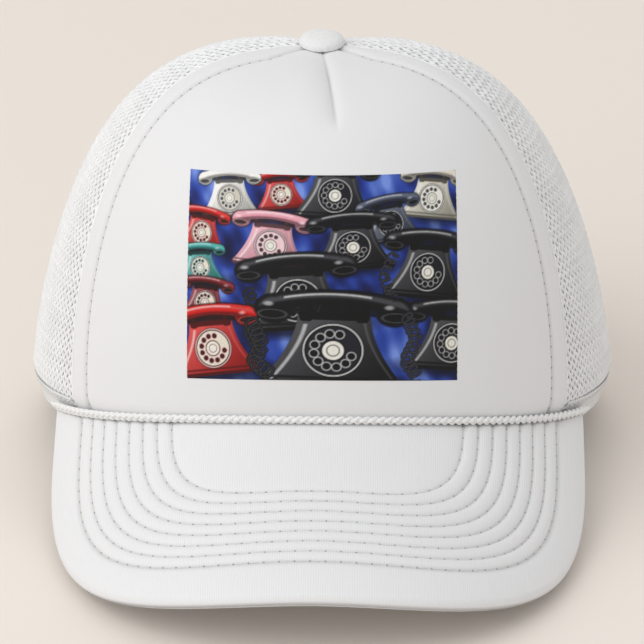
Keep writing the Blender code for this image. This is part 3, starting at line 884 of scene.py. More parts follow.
def knit_cloth(colour):
    """Close knit of the net's folded hems."""
    material, wire, shader = new_material(
        "knit_cloth", colour, 0.80, Sheen_Weight=0.3, Sheen_Roughness=0.5
    )
    place = cloth_place(wire)
    wales = ribs(wire, place, "X", 0.20, 1.0)
    courses = ribs(wire, place, "Y", 0.16, 1.6)
    knit = mixed(wire, wales, courses)
    tone = tinted(wire, knit, darker(colour, 0.74), colour, 0.15, 0.6)
    wire.tree.links.new(with_painted_shade(wire, tone, colour, 0.55), shader.inputs["Base Color"])
    bumped(wire, shader, knit, 0.7, 0.0004)
    return material


def visor_twill(colour):
    """Fine ribbed twill over the visor board."""
    material, wire, shader = new_material(
        "visor_twill", colour, 0.88, Sheen_Weight=0.15, Sheen_Roughness=0.5, Specular_IOR_Level=0.3
    )
    place = cloth_place(wire)
    warp = ribs(wire, scaled(wire, place, 1, 0.02, 1), "X", 0.42, 0.8, 1.0)
    weft = ribs(wire, scaled(wire, place, 0.05, 1, 1), "Y", 0.75, 1.0, 1.0)
    slub = noise(wire, scaled(wire, place, 2.4, 0.22, 1), 1.0, 3.0)
    weave = mixed(wire, mixed(wire, warp, weft, 0.3), slub, 0.45)
    tone = tinted(wire, weave, darker(colour, 0.93), colour, 0.25, 0.65)
    wire.tree.links.new(with_painted_shade(wire, tone, colour, 0.62), shader.inputs["Base Color"])
    bumped(wire, shader, weave, 0.30, 0.0003)
    return material


def rope_yarn(colour):
    """Glossy braiding yarn: fine threads along each strand."""
    material, wire, shader = new_material(
        "rope_yarn", colour, 0.62, Sheen_Weight=0.3, Sheen_Roughness=0.4, Specular_IOR_Level=0.45
    )
    place = object_place(wire)
    threads = noise(wire, place, 1400.0, 2.0)
    tone = tinted(wire, threads, darker(colour, 0.88), colour, 0.3, 0.6)
    wire.tree.links.new(tone, shader.inputs["Base Color"])
    bumped(wire, shader, threads, 0.5, 0.0002)
    return material


def button_cloth(colour):
    """Jersey stretched over the button: open little cells."""
    material, wire, shader = new_material(
        "button_cloth", colour, 0.90, Sheen_Weight=0.25, Sheen_Roughness=0.5
    )
    place = object_place(wire)
    cells = wire.add("ShaderNodeTexVoronoi", Vector=place, Scale=1300.0, Randomness=0.55)
    knit = mixed(wire, cells.outputs["Distance"], noise(wire, place, 900.0), 0.35)
    tone = tinted(wire, knit, darker(colour, 0.80), colour, 0.05, 0.45)
    wire.tree.links.new(tone, shader.inputs["Base Color"])
    bumped(wire, shader, knit, 0.55, 0.0003)
    return material


def cotton_tape(colour):
    """Herringbone tape of the seams and the rear opening."""
    material, wire, shader = new_material("cotton_tape", colour, 0.92, Sheen_Weight=0.15)
    place = cloth_place(wire)
    one = ribs(wire, scaled(wire, place, 1, 1, 0), "DIAGONAL", 0.28, 0.6)
    two = ribs(wire, scaled(wire, place, -1, 1, 0), "DIAGONAL", 0.28, 0.6)
    bands = wire.add(
        "ShaderNodeMath", {"operation": "GREATER_THAN"},
        socket_0=ribs(wire, place, "Y", 0.09), socket_1=0.5,
    ).outputs[0]
    switch = wire.add("ShaderNodeMix", {"data_type": "FLOAT"})
    wire.tree.links.new(bands, switch.inputs["Factor"])
    wire.tree.links.new(one, switch.inputs["A"])
    wire.tree.links.new(two, switch.inputs["B"])
    weave = mixed(wire, switch.outputs["Result"], noise(wire, place, 3.0), 0.3)
    tone = tinted(wire, weave, darker(colour, 0.84), colour, 0.2, 0.7)
    wire.tree.links.new(with_painted_shade(wire, tone, colour, 0.6), shader.inputs["Base Color"])
    bumped(wire, shader, weave, 0.5, 0.0003)
    return material


def band_terry(colour):
    """Looped cotton of the sweatband."""
    material, wire, shader = new_material(
        "band_terry", colour, 0.95, Sheen_Weight=0.4, Sheen_Roughness=0.6
    )
    place = cloth_place(wire)
    loops = wire.add("ShaderNodeTexVoronoi", Vector=place, Scale=1.1, Randomness=0.7)
    nap = mixed(wire, loops.outputs["Distance"], noise(wire, place, 1.4), 0.45)
    tone = tinted(wire, nap, darker(colour, 0.80), colour, 0.1, 0.6)
    wire.tree.links.new(with_painted_shade(wire, tone, colour, 0.6), shader.inputs["Base Color"])
    bumped(wire, shader, nap, 0.6, 0.0005)
    return material


def snap_plastic(colour):
    """Soft moulded plastic of the snap strap, satin and slightly uneven."""
    material, wire, shader = new_material(
        "snap_plastic", colour, 0.38, Specular_IOR_Level=0.5, Subsurface_Weight=0.12,
        Subsurface_Scale=0.002,
    )
    place = object_place(wire)
    grain = mixed(wire, noise(wire, place, 700.0, 3.0), noise(wire, place, 120.0, 2.0), 0.4)
    tone = tinted(wire, noise(wire, place, 60.0, 3.0), darker(colour, 0.94), colour, 0.3, 0.7)
    wire.tree.links.new(tone, shader.inputs["Base Color"])
    rough = wire.add(
        "ShaderNodeMapRange", Value=grain, From_Min=0.3, From_Max=0.7, To_Min=0.30, To_Max=0.46
    )
    wire.tree.links.new(rough.outputs[0], shader.inputs["Roughness"])
    bumped(wire, shader, grain, 0.12, 0.0002)
    return material


def sewing_thread(colour, name="sewing_thread"):
    material, wire, shader = new_material(
        name, colour, 0.55, Sheen_Weight=0.2, Specular_IOR_Level=0.5
    )
    ply = ribs(wire, object_place(wire), "DIAGONAL", 1500.0, 1.0)
    tone = tinted(wire, ply, darker(colour, 0.82), colour)
    wire.tree.links.new(tone, shader.inputs["Base Color"])
    bumped(wire, shader, ply, 0.4, 0.0001)
    return material


def needle_shade(colour):
    """The shade in a needle's prick, where thread goes into the cloth."""
    return sewing_thread(colour, "needle_shade")


def woven_label(colour):
    material, wire, shader = new_material(
        "woven_label", colour, 0.42, Sheen_Weight=0.3, Anisotropic=0.5
    )
    place = cloth_place(wire)
    satin = mixed(wire, ribs(wire, place, "Y", 1.1, 0.6), noise(wire, place, 2.0), 0.4)
    tone = tinted(wire, satin, darker(colour, 0.90), colour)
    wire.tree.links.new(with_painted_shade(wire, tone, colour, 0.7), shader.inputs["Base Color"])
    bumped(wire, shader, satin, 0.3, 0.0002)
    return material


def brushed_steel(colour):
    material, wire, shader = new_material("brushed_steel", colour, 0.34, Metallic=1.0)
    place = object_place(wire)
    lines = noise(wire, scaled(wire, place, 1, 1, 30), 300.0, 2.0)
    tone = tinted(wire, lines, darker(colour, 0.8), colour, 0.3, 0.7)
    wire.tree.links.new(tone, shader.inputs["Base Color"])
    bumped(wire, shader, lines, 0.15, 0.0001)
    return material


def board_sheet(colour):
    material, wire, shader = new_material("board_sheet", colour, 0.5)
    grain = noise(wire, object_place(wire), 400.0)
    tone = tinted(wire, grain, darker(colour, 0.9), colour)
    wire.tree.links.new(tone, shader.inputs["Base Color"])
    bumped(wire, shader, grain, 0.2, 0.0002)
    return material


def print_ink(colour):
    """Ink sublimed into the cloth: the painted field, over the cloth's own fine knit."""
    material, wire, shader = new_material(
        "print_ink", colour, 0.72, Sheen_Weight=0.05, Specular_IOR_Level=0.35
    )
    painted = wire.add("ShaderNodeAttribute", {"attribute_name": "ink"}).outputs["Color"]
    place = cloth_place(wire)
    grain = mixed(wire, ribs(wire, place, "X", 0.85, 1.2), noise(wire, place, 2.2))
    shade = tinted(wire, grain, (0.86, 0.86, 0.86), (1.0, 1.0, 1.0), 0.3, 0.7)
    node = wire.add("ShaderNodeMix", {"data_type": "RGBA", "blend_type": "MULTIPLY"})
    node.inputs[0].default_value = 1.0
    wire.tree.links.new(painted, node.inputs[6])
    wire.tree.links.new(shade, node.inputs[7])
    wire.tree.links.new(node.outputs[2], shader.inputs["Base Color"])
    bumped(wire, shader, grain, 0.15, 0.0002)
    return material


def floor_paper(colour):
    material, wire, shader = new_material("floor_paper", colour, 0.95, Specular_IOR_Level=0.1)
    cloud = noise(wire, object_place(wire), 1.5, 2.0)
    tone = tinted(wire, cloud, darker(colour, 0.985), colour, 0.3, 0.7)
    wire.tree.links.new(tone, shader.inputs["Base Color"])
    bumped(wire, shader, noise(wire, object_place(wire), 900.0), 0.02, 0.0001)
    return material


MAKERS = {
    "foam": foam_cloth, "mesh": mesh_yarn, "knit": knit_cloth, "visor": visor_twill,
    "rope": rope_yarn, "button": button_cloth, "tape": cotton_tape, "band": band_terry,
    "strap": snap_plastic, "thread": sewing_thread, "prick": needle_shade, "label": woven_label,
    "steel": brushed_steel, "board": board_sheet, "ink": print_ink, "floor": floor_paper,
}
FINISHES = {}


def finish_of(kind):
    """The material of this kind, made when it is first asked for, in the colour of the settings."""
    if kind not in FINISHES:
        colours = bpy.context.scene.cap_colours
        FINISHES[kind] = MAKERS[kind](tuple(getattr(colours, kind)))
    return FINISHES[kind]


# --- Printed picture: a table of old dial telephones on blue cloth ---


class Canvas:
    """A picture painted at scattered places; x is across from the middle and y up, in millimetres."""

    def __init__(self, x, y):
        self.x, self.y = x, y
        self.colour = np.zeros(x.shape + (3,))

    def paint(self, colour, mask):
        mask = np.clip(mask, 0.0, 1.0)[..., None]
        self.colour = self.colour * (1.0 - mask) + np.asarray(colour, float) * mask

    def cover(self, distance, soft=0.16):
        """How much of a place a shape covers, from its distance outside the shape's edge."""
        return np.clip(0.5 - distance / (2 * soft), 0.0, 1.0)


def round_box(x, y, half_x, half_y, radius):
    a, b = np.abs(x) - half_x + radius, np.abs(y) - half_y + radius
    return np.hypot(np.maximum(a, 0), np.maximum(b, 0)) + np.minimum(np.maximum(a, b), 0) - radius


def capsule(x, y, x0, y0, x1, y1, radius):
    dx, dy = x1 - x0, y1 - y0
    t = np.clip(((x - x0) * dx + (y - y0) * dy) / (dx * dx + dy * dy), 0.0, 1.0)
    return np.hypot(x - x0 - t * dx, y - y0 - t * dy) - radius


def ellipse(x, y, cx, cy, a, b):
    size = np.hypot((x - cx) / a, (y - cy) / b)
    return (size - 1.0) * min(a, b)


def folded_cloth(canvas):
    """Blue cloth laid in soft folds."""
    x, y = canvas.x, canvas.y
    wave = np.sin(x * 0.21 + 1.7 * np.sin(y * 0.11 + 0.6) + y * 0.13)
    wave += 0.6 * np.sin(x * 0.47 - y * 0.31 + 1.1 * np.sin(x * 0.17))
    wave += 0.3 * np.sin(x * 1.10 + y * 0.63 + 2.0 * np.sin(y * 0.23))
    light = np.clip(0.5 + 0.3 * wave, 0.0, 1.0)[..., None]
    deep, mid, pale = (np.array(c) for c in ((0.05, 0.08, 0.26), (0.16, 0.26, 0.62), (0.46, 0.57, 0.88)))
    low = deep + (mid - deep) * np.clip(light * 2, 0, 1)
    canvas.colour = low + (pale - low) * np.clip(light * 2 - 1, 0, 1) ** 1.5


def coiled_lead(canvas, points, size, turns, colour, width=0.42):
    """A curly lead along a bent line."""
    points = np.array(points, float)
    along = np.concatenate([[0], np.cumsum(np.hypot(*np.diff(points, axis=0).T))])
    t = np.linspace(0, along[-1], int(turns * 16))
    cx, cy = np.interp(t, along, points[:, 0]), np.interp(t, along, points[:, 1])
    phase = 2 * np.pi * turns * t / along[-1]
    tx, ty = np.gradient(cx), np.gradient(cy)
    length = np.hypot(tx, ty)
    px = cx - ty / length * size * np.sin(phase) + tx / length * size * 0.6 * np.cos(phase)
    py = cy + tx / length * size * np.sin(phase) + ty / length * size * 0.6 * np.cos(phase)
    near = (np.abs(canvas.x - px.mean()) < np.ptp(px) / 2 + 2 * size) & (
        np.abs(canvas.y - py.mean()) < np.ptp(py) / 2 + 2 * size
    )
    x, y = canvas.x[near], canvas.y[near]
    distance = np.full(x.shape, 1e3)
    for k in range(len(px) - 1):
        part = capsule(x, y, px[k], py[k], px[k + 1], py[k + 1], width)
        distance = np.minimum(distance, part)
    mask = np.zeros(canvas.x.shape)
    mask[near] = canvas.cover(distance)
    canvas.paint(colour, mask)
    shine = np.zeros(canvas.x.shape)
    shine[near] = canvas.cover(distance + width * 0.75) * 0.5
    canvas.paint(np.asarray(colour) * 0.5 + 0.42, shine)


def telephone(canvas, cx, cy, size, tilt, colour, face, squat=1.0, dial_turn=0.0):
    """One desk telephone from the front: a flared body, a dial, a cradle and its handset."""
    c, s = math.cos(math.radians(tilt)), math.sin(math.radians(tilt))
    x = ((canvas.x - cx) * c + (canvas.y - cy) * s) / size
    y = (-(canvas.x - cx) * s + (canvas.y - cy) * c) / size / squat
    colour = np.asarray(colour, float)
    dark, light = colour * 0.38, colour + (1.0 - colour) * 0.42
    glint = colour + (1.0 - colour) * 0.82
    soft = 0.16 / size

    def cover(distance, edge=1.0):
        return canvas.cover(distance, soft * edge)

    canvas.paint((0.02, 0.03, 0.10), 0.75 * cover(ellipse(x, y, 0.06, -0.70, 1.20, 0.20), 9.0))
    fall = np.clip((0.40 - y) / 1.02, 0.0, 1.0)
    half = 0.52 + 0.46 * fall**1.7
    body = np.maximum(np.abs(x) - half, np.abs(y + 0.12) - 0.54)
    shade = np.clip(0.55 + 0.5 * (y + 0.3) - 0.45 * x, 0.0, 1.0)[..., None]
    mask = cover(body)
    canvas.paint(dark, cover(round_box(x, y + 0.66, 1.02, 0.08, 0.06)))
    canvas.paint(colour, mask)
    painted = dark + (light - dark) * shade
    canvas.colour = np.where(
        (mask > 0)[..., None],
        canvas.colour * (1 - mask[..., None] * 0.62) + painted * mask[..., None] * 0.62,
        canvas.colour,
    )
    canvas.paint(glint, 0.75 * mask * cover(np.abs(x + half - 0.13) - 0.030, 2.0) * (fall > 0.12))
    canvas.paint(light, 0.5 * mask * cover(np.abs(x - half + 0.09) - 0.018, 2.0))
    canvas.paint(dark, 0.8 * mask * cover(np.abs(y + 0.60) - 0.022, 1.5))
    for side in (-1, 1):
        canvas.paint(dark, cover(round_box(x - side * 0.40, y - 0.47, 0.09, 0.15, 0.05)))
        canvas.paint(light, 0.6 * cover(round_box(x - side * 0.40 + 0.04, y - 0.50, 0.02, 0.09, 0.02)))
    canvas.paint(dark, cover(round_box(x, y - 0.41, 0.50, 0.06, 0.05)))
    # The dial.
    dial_y = y + 0.14
    ring = np.hypot(x, dial_y)
    canvas.paint(dark * 0.6, cover(ring - 0.445))
    canvas.paint(glint * 0.9, cover(np.abs(ring - 0.420) - 0.014, 0.8))
    canvas.paint(face, cover(ring - 0.385))
    for k in range(10):
        a = math.radians(62.0 + 30.0 * k + dial_turn)
        hole = np.hypot(x - 0.275 * math.cos(a), dial_y - 0.275 * math.sin(a))
        canvas.paint(dark * 0.8 + 0.02, cover(hole - 0.066))
        canvas.paint(glint, 0.8 * cover(np.abs(hole - 0.066) - 0.010, 0.8))
    canvas.paint((0.93, 0.92, 0.88), cover(ring - 0.165))
    canvas.paint(dark, 0.8 * cover(np.abs(ring - 0.165) - 0.012, 0.8))
    canvas.paint(dark, 0.5 * cover(np.abs(ring - 0.09) - 0.010, 0.8))
    # The handset, arched over the cradle.
    arch = y - 0.70 + 0.16 * x * x
    bar = np.maximum(np.abs(arch) - 0.105 - 0.03 * np.abs(x), np.abs(x) - 0.86)
    cups = np.minimum(
        ellipse(x, y, -0.86, 0.50, 0.25, 0.21), ellipse(x, y, 0.86, 0.50, 0.25, 0.21)
    )
    whole = np.minimum(bar, cups)
    canvas.paint(dark * 0.5, 0.8 * cover(np.minimum(
        np.maximum(np.abs(arch + 0.10) - 0.10, np.abs(x) - 0.8), whole) - 0.03, 2.0))
    canvas.paint(colour, cover(whole))
    canvas.paint(dark, 0.75 * cover(np.maximum(whole, arch + 0.05), 2.0))
    canvas.paint(light, 0.55 * cover(np.maximum(whole + 0.03, -arch + 0.01), 3.0))
    canvas.paint(glint, 0.85 * cover(np.maximum(np.abs(arch - 0.062) - 0.016, np.abs(x + 0.1) - 0.62), 1.5))
    for side in (-1, 1):
        cup = ellipse(x, y, side * 0.88, 0.41, 0.20, 0.07)
        canvas.paint(dark * 0.7, cover(cup))
        canvas.paint(light, 0.6 * cover(np.abs(cup) - 0.008, 1.0))
        canvas.paint(glint, 0.7 * cover(ellipse(x, y, side * 0.86 - 0.08, 0.57, 0.07, 0.035), 2.0))


def paint_telephones(x, y):
    """The whole picture, in sRGB-like numbers from 0 to 1; y is up from the picture's foot."""
    canvas = Canvas(x, y)
    folded_cloth(canvas)
    black, ink = (0.055, 0.058, 0.075), (0.10, 0.10, 0.13)
    red, maroon = (0.80, 0.075, 0.06), (0.44, 0.05, 0.08)
    cream, ivory = (0.90, 0.87, 0.80), (0.96, 0.95, 0.92)
    pink, teal = (0.90, 0.60, 0.66), (0.22, 0.62, 0.60)
    gold, slate = (0.86, 0.72, 0.28), (0.25, 0.28, 0.36)
    canvas.paint(gold, canvas.cover(capsule(x, y, -44, 69.5, -38.5, 70.2, 1.1)))
    canvas.paint((0.95, 0.86, 0.5), canvas.cover(capsule(x, y, -43, 70.0, -39.5, 70.5, 0.3)))
    telephone(canvas, -13.5, 61.5, 8.2, 6, red, cream)
    telephone(canvas, 36.0, 60.0, 10.5, -7, cream, ivory, 1.0, 8)
    telephone(canvas, -30.5, 60.0, 9.8, 4, ivory, (0.80, 0.78, 0.72))
    telephone(canvas, 3.8, 62.0, 12.5, -3, black, ink)
    telephone(canvas, 21.5, 52.5, 9.6, 9, slate, ink)
    telephone(canvas, -40.0, 48.5, 8.6, -6, red, cream)
    telephone(canvas, -40.5, 37.5, 8.2, 5, teal, cream)
    telephone(canvas, -16.5, 45.8, 12.0, -5, pink, (0.94, 0.80, 0.82), 0.95)
    telephone(canvas, 9.5, 45.5, 13.0, 3, black, ink, 0.9, 12)
    telephone(canvas, -38.5, 26.5, 8.8, -4, maroon, cream)
    telephone(canvas, 34.5, 37.5, 14.0, -6, black, ink, 1.0, 20)
    telephone(canvas, -8.0, 29.0, 17.5, 4, black, ink, 0.92, 6)
    coiled_lead(canvas, [(-24, 30), (-21.5, 23), (-23.5, 17), (-20, 10)], 2.0, 11, black)
    coiled_lead(canvas, [(23, 42), (19.5, 35), (22, 28), (28, 24)], 1.5, 10, ink)
    telephone(canvas, -36.0, 12.5, 14.5, 7, red, cream, 1.05, 14)
    telephone(canvas, 43.0, 14.5, 15.0, -4, black, ink, 1.0, 4)
    telephone(canvas, 3.5, 13.2, 22.5, -2, black, (0.13, 0.13, 0.16), 0.92, 10)
    coiled_lead(canvas, [(-23, 20), (-19.5, 12), (-22, 6), (-16, 1.5)], 2.3, 12, black, 0.55)
    coiled_lead(canvas, [(27, 22), (30.5, 14), (27, 7), (31, 1)], 2.0, 12, ink, 0.5)
    grain = 0.5 + 0.5 * np.sin(x * 7.3 + 2.1 * np.sin(y * 5.9)) * np.sin(y * 6.7 + 1.7 * np.sin(x * 4.3))
    colour = canvas.colour * (0.95 + 0.08 * grain[..., None])
    return np.clip(colour, 0.012, 0.97)


# --- Crown pieces ---


def dart_side(angle, share):
    """The signed distance from the dart's crease, and how deep the dart is there."""
    fall = np.clip((DART_TOP - share) / (DART_TOP - DART_END), 0.0, 1.0)
    line = (0.6 + 5.4 * fall + 0.8 * fall * (1 - fall)) * MM
    across = np.sin(np.radians(angle)) * CROWN.degree(angle, share) * DEGREES_IN_RADIAN
    begins, ends = 0.45 + 0.55 * smoothstep(0.0, 0.3, fall), 1.0 - smoothstep(0.75, 1.0, fall)
    return across - line, begins * ends


def foam_relief(angle, share, settings):
    """How far the foam front stands out of the crown's surface, and the shade painted into its grooves and
    its dart's crease.
    """
    degree = CROWN.degree(angle, share)
    seam = front_seam(share)
    inside = (seam - np.abs(angle)) * degree
    strip = np.minimum(STRIP, 0.30 * seam * degree)
    t = np.clip(inside / strip, 0.0, 1.0)
    past = np.maximum(inside - strip, 0.0)
    out = 0.42 * MM * np.sin(np.pi * t) ** 0.7
    out = out + settings.foam_puff * (1.0 - np.exp(-past / (4.0 * MM)))
    out = out - 0.60 * MM * dip(inside - strip, 1.0 * MM)
    out = out - rolled(inside, 1.3 * MM)
    side, depth = dart_side(angle, share)
    width = np.where(side < 0, 2.5 * MM, 1.3 * MM)
    crease = np.exp(-np.abs(side) / width)
    out = out - settings.dart_depth * crease * depth
    out = out + 0.15 * settings.dart_depth * depth * np.exp(-(((side + 9 * MM) / (6 * MM)) ** 2))
    foot = share * CROWN.length(angle)
    out = out - 0.5 * rolled(foot, 1.6 * MM)
    # Painted shade: a soft band along the groove inside the stitch line, and a dark line in the dart's
    # crease.
    dark = 0.30 * dip(inside - strip, 0.7 * MM) + 0.60 * dip(side, 0.45 * MM) * depth
    return out, np.clip(dark, 0.0, 1.0)


def build_foam_front(context):
    """The foam front: edge strips rolled under a stitch line, and a dart below the button."""
    settings = context.scene.cap_crown
    t = np.linspace(-1.0, 1.0, 329)
    spread_out = 0.45 * t + 0.55 * np.sin(np.pi * t / 2)
    share = np.linspace(0.0, 1.0, 201)[None, :]
    edge = front_seam(share) - 0.15 * MM / CROWN.degree(front_seam(share), share)
    angle = spread_out[:, None] * edge
    share = np.broadcast_to(share, angle.shape)
    out, dark = foam_relief(angle, share, settings)
    outer = CROWN.at(angle, share, out)
    inner = CROWN.at(angle, share, -FOAM)
    cloth = cloth_field(
        np.radians(angle) * RIM_HALF_WIDTH / MM, share * CROWN.length(angle) / MM
    )
    # The seam field carries the shade painted into the grooves and the dart's crease.
    obj = shell("foam_front", outer, inner, 8, {"cloth": cloth, "seam": dark[..., None]})
    dress(obj, finish_of("foam"), replaces=("front_panel",))
    rows = []
    shares = np.linspace(0.012, 0.93, 300)
    for side in (-1, 1):
        seam = front_seam(shares)
        degree = CROWN.degree(seam, shares)
        strip = np.minimum(STRIP, 0.30 * seam * degree)
        at = seam - strip / degree
        relief, _ = foam_relief(side * at, shares, settings)
        rows.append(CROWN.at(side * at, shares, relief + 0.10 * MM))
    stitches("front_stitches", rows, *FRONT_STITCH, finish_of("thread"))
    # Painted shade: dark lenses half a stitch on, where the thread sinks into the needle pricks.
    shade_marks = [after_half(row, FRONT_STITCH[0]) for row in rows]
    stitches("front_pricks", shade_marks, *FRONT_PRICK_SHADE, finish_of("prick"))


def build_print(context):
    """The printed picture on the foam front, painted into a colour field."""
    settings = context.scene.cap_crown
    x = np.linspace(-PRINT_WIDTH / 2, PRINT_WIDTH / 2, 329)
    y = np.linspace(0.0, PRINT_HEIGHT, 257)
    ragged = 0.05 * np.sin(y * 2.9) + 0.04 * np.sin(y * 7.7 + 1.0)
    x_at = x[:, None] + ragged[None, :] * (np.abs(x) / x[-1])[:, None] ** 20
    y_at = np.broadcast_to(y, x_at.shape)
    foot = settings.print_foot
    angle, share = CROWN.unrolled(0.0, (x_at + PRINT_MIDDLE) * MM, foot + y_at * MM)
    out, _ = foam_relief(angle, share, settings)
    outer = CROWN.at(angle, share, out + 0.10 * MM)
    inner = CROWN.at(angle, share, out + 0.02 * MM)
    colour = paint_telephones(x_at, y_at) ** 2.2
    ink = np.concatenate([colour, np.ones(colour.shape[:2] + (1,))], axis=-1)
    fields = {"ink": ink, "cloth": cloth_field(x_at, y_at)}
    obj = shell("front_print", outer, inner, 8, fields)
    dress(obj, finish_of("ink"))


def net_lines(angle_from, angle_to, low_of, settings):
    """The zigzag yarns of one net panel between two seams, as polylines on the crown."""
    middle = (angle_from(0.0) + angle_to(0.0)) / 2
    pitch, row = settings.net_pitch, settings.net_row
    length = float(CROWN.length(middle))
    v = np.arange(0.0, length, row / 6.0)
    phase = 2 * np.pi * v / row
    zig = np.tanh(2.2 * np.sin(phase)) / math.tanh(2.2)
    reach = int(70 * MM / pitch)
    lines = []
    for k in range(-reach, reach + 1):
        swing = 1 if k % 2 else -1
        u = k * pitch + swing * settings.net_swing * zig
        angle, share = CROWN.unrolled(middle, u, v)
        degree = CROWN.degree(angle, share)
        low, high = angle_from(share), angle_to(share)
        kept = (angle > low + 0.4 * MM / degree) & (angle < high - 0.4 * MM / degree)
        kept &= share > low_of(angle)
        kept &= share < NET_TOP
        depth = -MESH / 2 + 0.16 * MM * np.cos(phase)
        points = CROWN.at(angle, share, depth)
        lines += kept_runs(points, kept)
    share = np.linspace(0.0, NET_TOP, 400)
    for edge, side in ((angle_from, 1), (angle_to, -1)):
        angle = edge(share) + side * 0.50 * MM / CROWN.degree(edge(share), share)
        held = share > low_of(angle)
        lines.append(CROWN.at(angle[held], share[held], -MESH / 2))
    return lines


def mirrored(lines):
    return [line * np.array([-1.0, 1.0, 1.0]) for line in lines]


def build_net(context):
    """The four net panels of zigzag yarns that touch and part to leave the holes."""
    settings = context.scene.cap_crown
    side = net_lines(front_seam, level(SIDE_SEAM), level(NET_FOOT), settings)
    rear = net_lines(level(SIDE_SEAM), level(180.0), lambda a: arch_share(a) + NET_FOOT, settings)
    for lines, panel in ((side, "side_panel"), (rear, "rear_panel")):
        for found, word in ((lines, "left"), (mirrored(lines), "right")):
            cords(
                panel.replace("panel", "net_") + word, found, settings.net_yarn, 5,
                finish_of("mesh"), replaces=(panel + "_" + word,),
            )


def ring_field(rings):
    """Millimetres along and round a bar, for its cloth."""
    along = np.cumsum(np.linalg.norm(np.diff(rings, axis=0, prepend=rings[:1]), axis=2).mean(axis=1))
    round_ = np.cumsum(np.linalg.norm(np.diff(rings, axis=1, prepend=rings[:, :1]), axis=2), axis=1)
    along = np.broadcast_to(along[:, None], round_.shape)
    return cloth_field(along, round_) / MM


def build_hems(context):
    """The net's folded hem on both sides, with its stitch row."""
    turn = np.linspace(0.0, np.pi, 9)
    for side, word in ((1, "left"), (-1, "right")):
        angle = np.linspace(HEM_FROM, HEM_END, 200) * side
        full = smoothstep(HEM_FROM, HEM_FULL, np.abs(angle))
        reach = HEM_WIDTH / CROWN.length(angle)
        rings = []
        outer = [(1.0 - k / 8, -0.45 - 0.30 * math.sin(math.pi * k / 8)) for k in range(9)]
        inner = [(k / 8, MESH / MM + 0.75 + 0.35 * math.sin(math.pi * k / 8)) for k in range(9)]
        path = [(t, i, 0.0) for t, i in outer]
        path += [(0.0, 0.75 - 1.2 * math.cos(a), -1.3 * math.sin(a)) for a in turn[1:-1]]
        path += [(t, i, 0.0) for t, i in inner]
        path += [(1.0, MESH / MM + 0.15, 0.0), (0.5, 0.6, 0.4), (1.0, -0.15, 0.0)]
        for t, inset, lift in path:
            out = -inset * MM
            out = np.minimum(out, 0.05 * MM) + np.maximum(out - 0.05 * MM, 0.0) * full
            points = CROWN.at(angle, t * reach, out)
            points[:, 2] += (lift * MM - 0.15 * MM * (t == 0.0)) * full
            rings.append(points)
        rings = np.stack(rings, axis=1)
        rings[..., 2] = np.maximum(rings[..., 2], 0.02 * MM)
        field = ring_field(rings)
        # Painted shade in the groove of the stitch row.
        seam = np.broadcast_to(
            np.array([0.8 * float(dip(t - HEM_ROW, 0.07)) for t, _, _ in path])[None, :], rings.shape[:2]
        )
        obj = face_out(loft("mesh_hem_" + word, rings, {"cloth": field, "seam": seam[..., None]}))
        dress(obj, finish_of("knit"), replaces=("hem_tape_" + word,))
        row = CROWN.at(angle, HEM_ROW * reach, 0.05 * MM + 0.60 * MM * full)
        back = CROWN.at(angle, HEM_ROW * reach, -MESH - 0.95 * MM)
        stitches("hem_stitches_" + word, [row, back], *HEM_STITCH, finish_of("thread"))


def wall_tape(name, middle_of, shares, width_of, inset, thick, kind, replaces, rows=()):
    """A tape lying along the inside of a seam, softly rounded, with stitch rows along it."""
    across = np.linspace(-1.0, 1.0, 29)
    share = np.broadcast_to(shares, (len(across), len(shares)))
    middle = middle_of(share)
    degree = CROWN.degree(middle, share)
    angle = middle + across[:, None] * width_of(share) / 2 / degree
    # Painted shade along the stitch rows' grooves; the same field sinks the cloth there.
    seam = np.zeros(angle.shape)
    for row in rows:
        seam = np.maximum(seam, dip(across[:, None] - row, 0.07))
    swell = 0.22 * MM * (1.0 - across[:, None] ** 6) - 0.25 * MM * seam
    near = CROWN.at(angle, share, -inset)
    far = CROWN.at(angle, share, -inset - thick - swell)
    # A seam is about 150 mm long.
    cloth = cloth_field(across[:, None] * width_of(share) / 2 / MM, share * 150.0)
    obj = shell(name, far, near, 2, {"cloth": cloth, "seam": seam[..., None]})
    face_out(obj)
    dress(obj, finish_of(kind), replaces=replaces)
    lines = []
    for row in rows:
        line_share = shares[1:-1]
        line_middle = middle_of(line_share)
        at = line_middle + row * width_of(line_share) / 2 / CROWN.degree(line_middle, line_share)
        lines.append(CROWN.at(at, line_share, -inset - thick - 0.10 * MM))
    if lines:
        stitches(name + "_stitches", lines, *TAPE_STITCH, finish_of("thread"))


def build_seam_tapes(context):
    """Cotton tapes over the four seams inside the crown, each with two stitch rows."""
    shares = np.linspace(0.10, 0.90, 141)

    def width_of(share):
        return SEAM_TAPE_WIDTH * np.minimum(0.35 + 2.6 * (1.0 - share), 1.0)

    for side, word in ((1, "left"), (-1, "right")):
        wall_tape(
            "front_tape_" + word, lambda s, side=side: side * front_seam(s), shares, width_of,
            FOAM + GAP, 0.5 * MM, "tape", ("front_seam_tape_" + word,), SEAM_TAPE_ROWS,
        )
        wall_tape(
            "side_tape_" + word, level(side * SIDE_SEAM), shares, width_of,
            MESH + GAP, 0.5 * MM, "tape", ("side_seam_tape_" + word,), SEAM_TAPE_ROWS,
        )


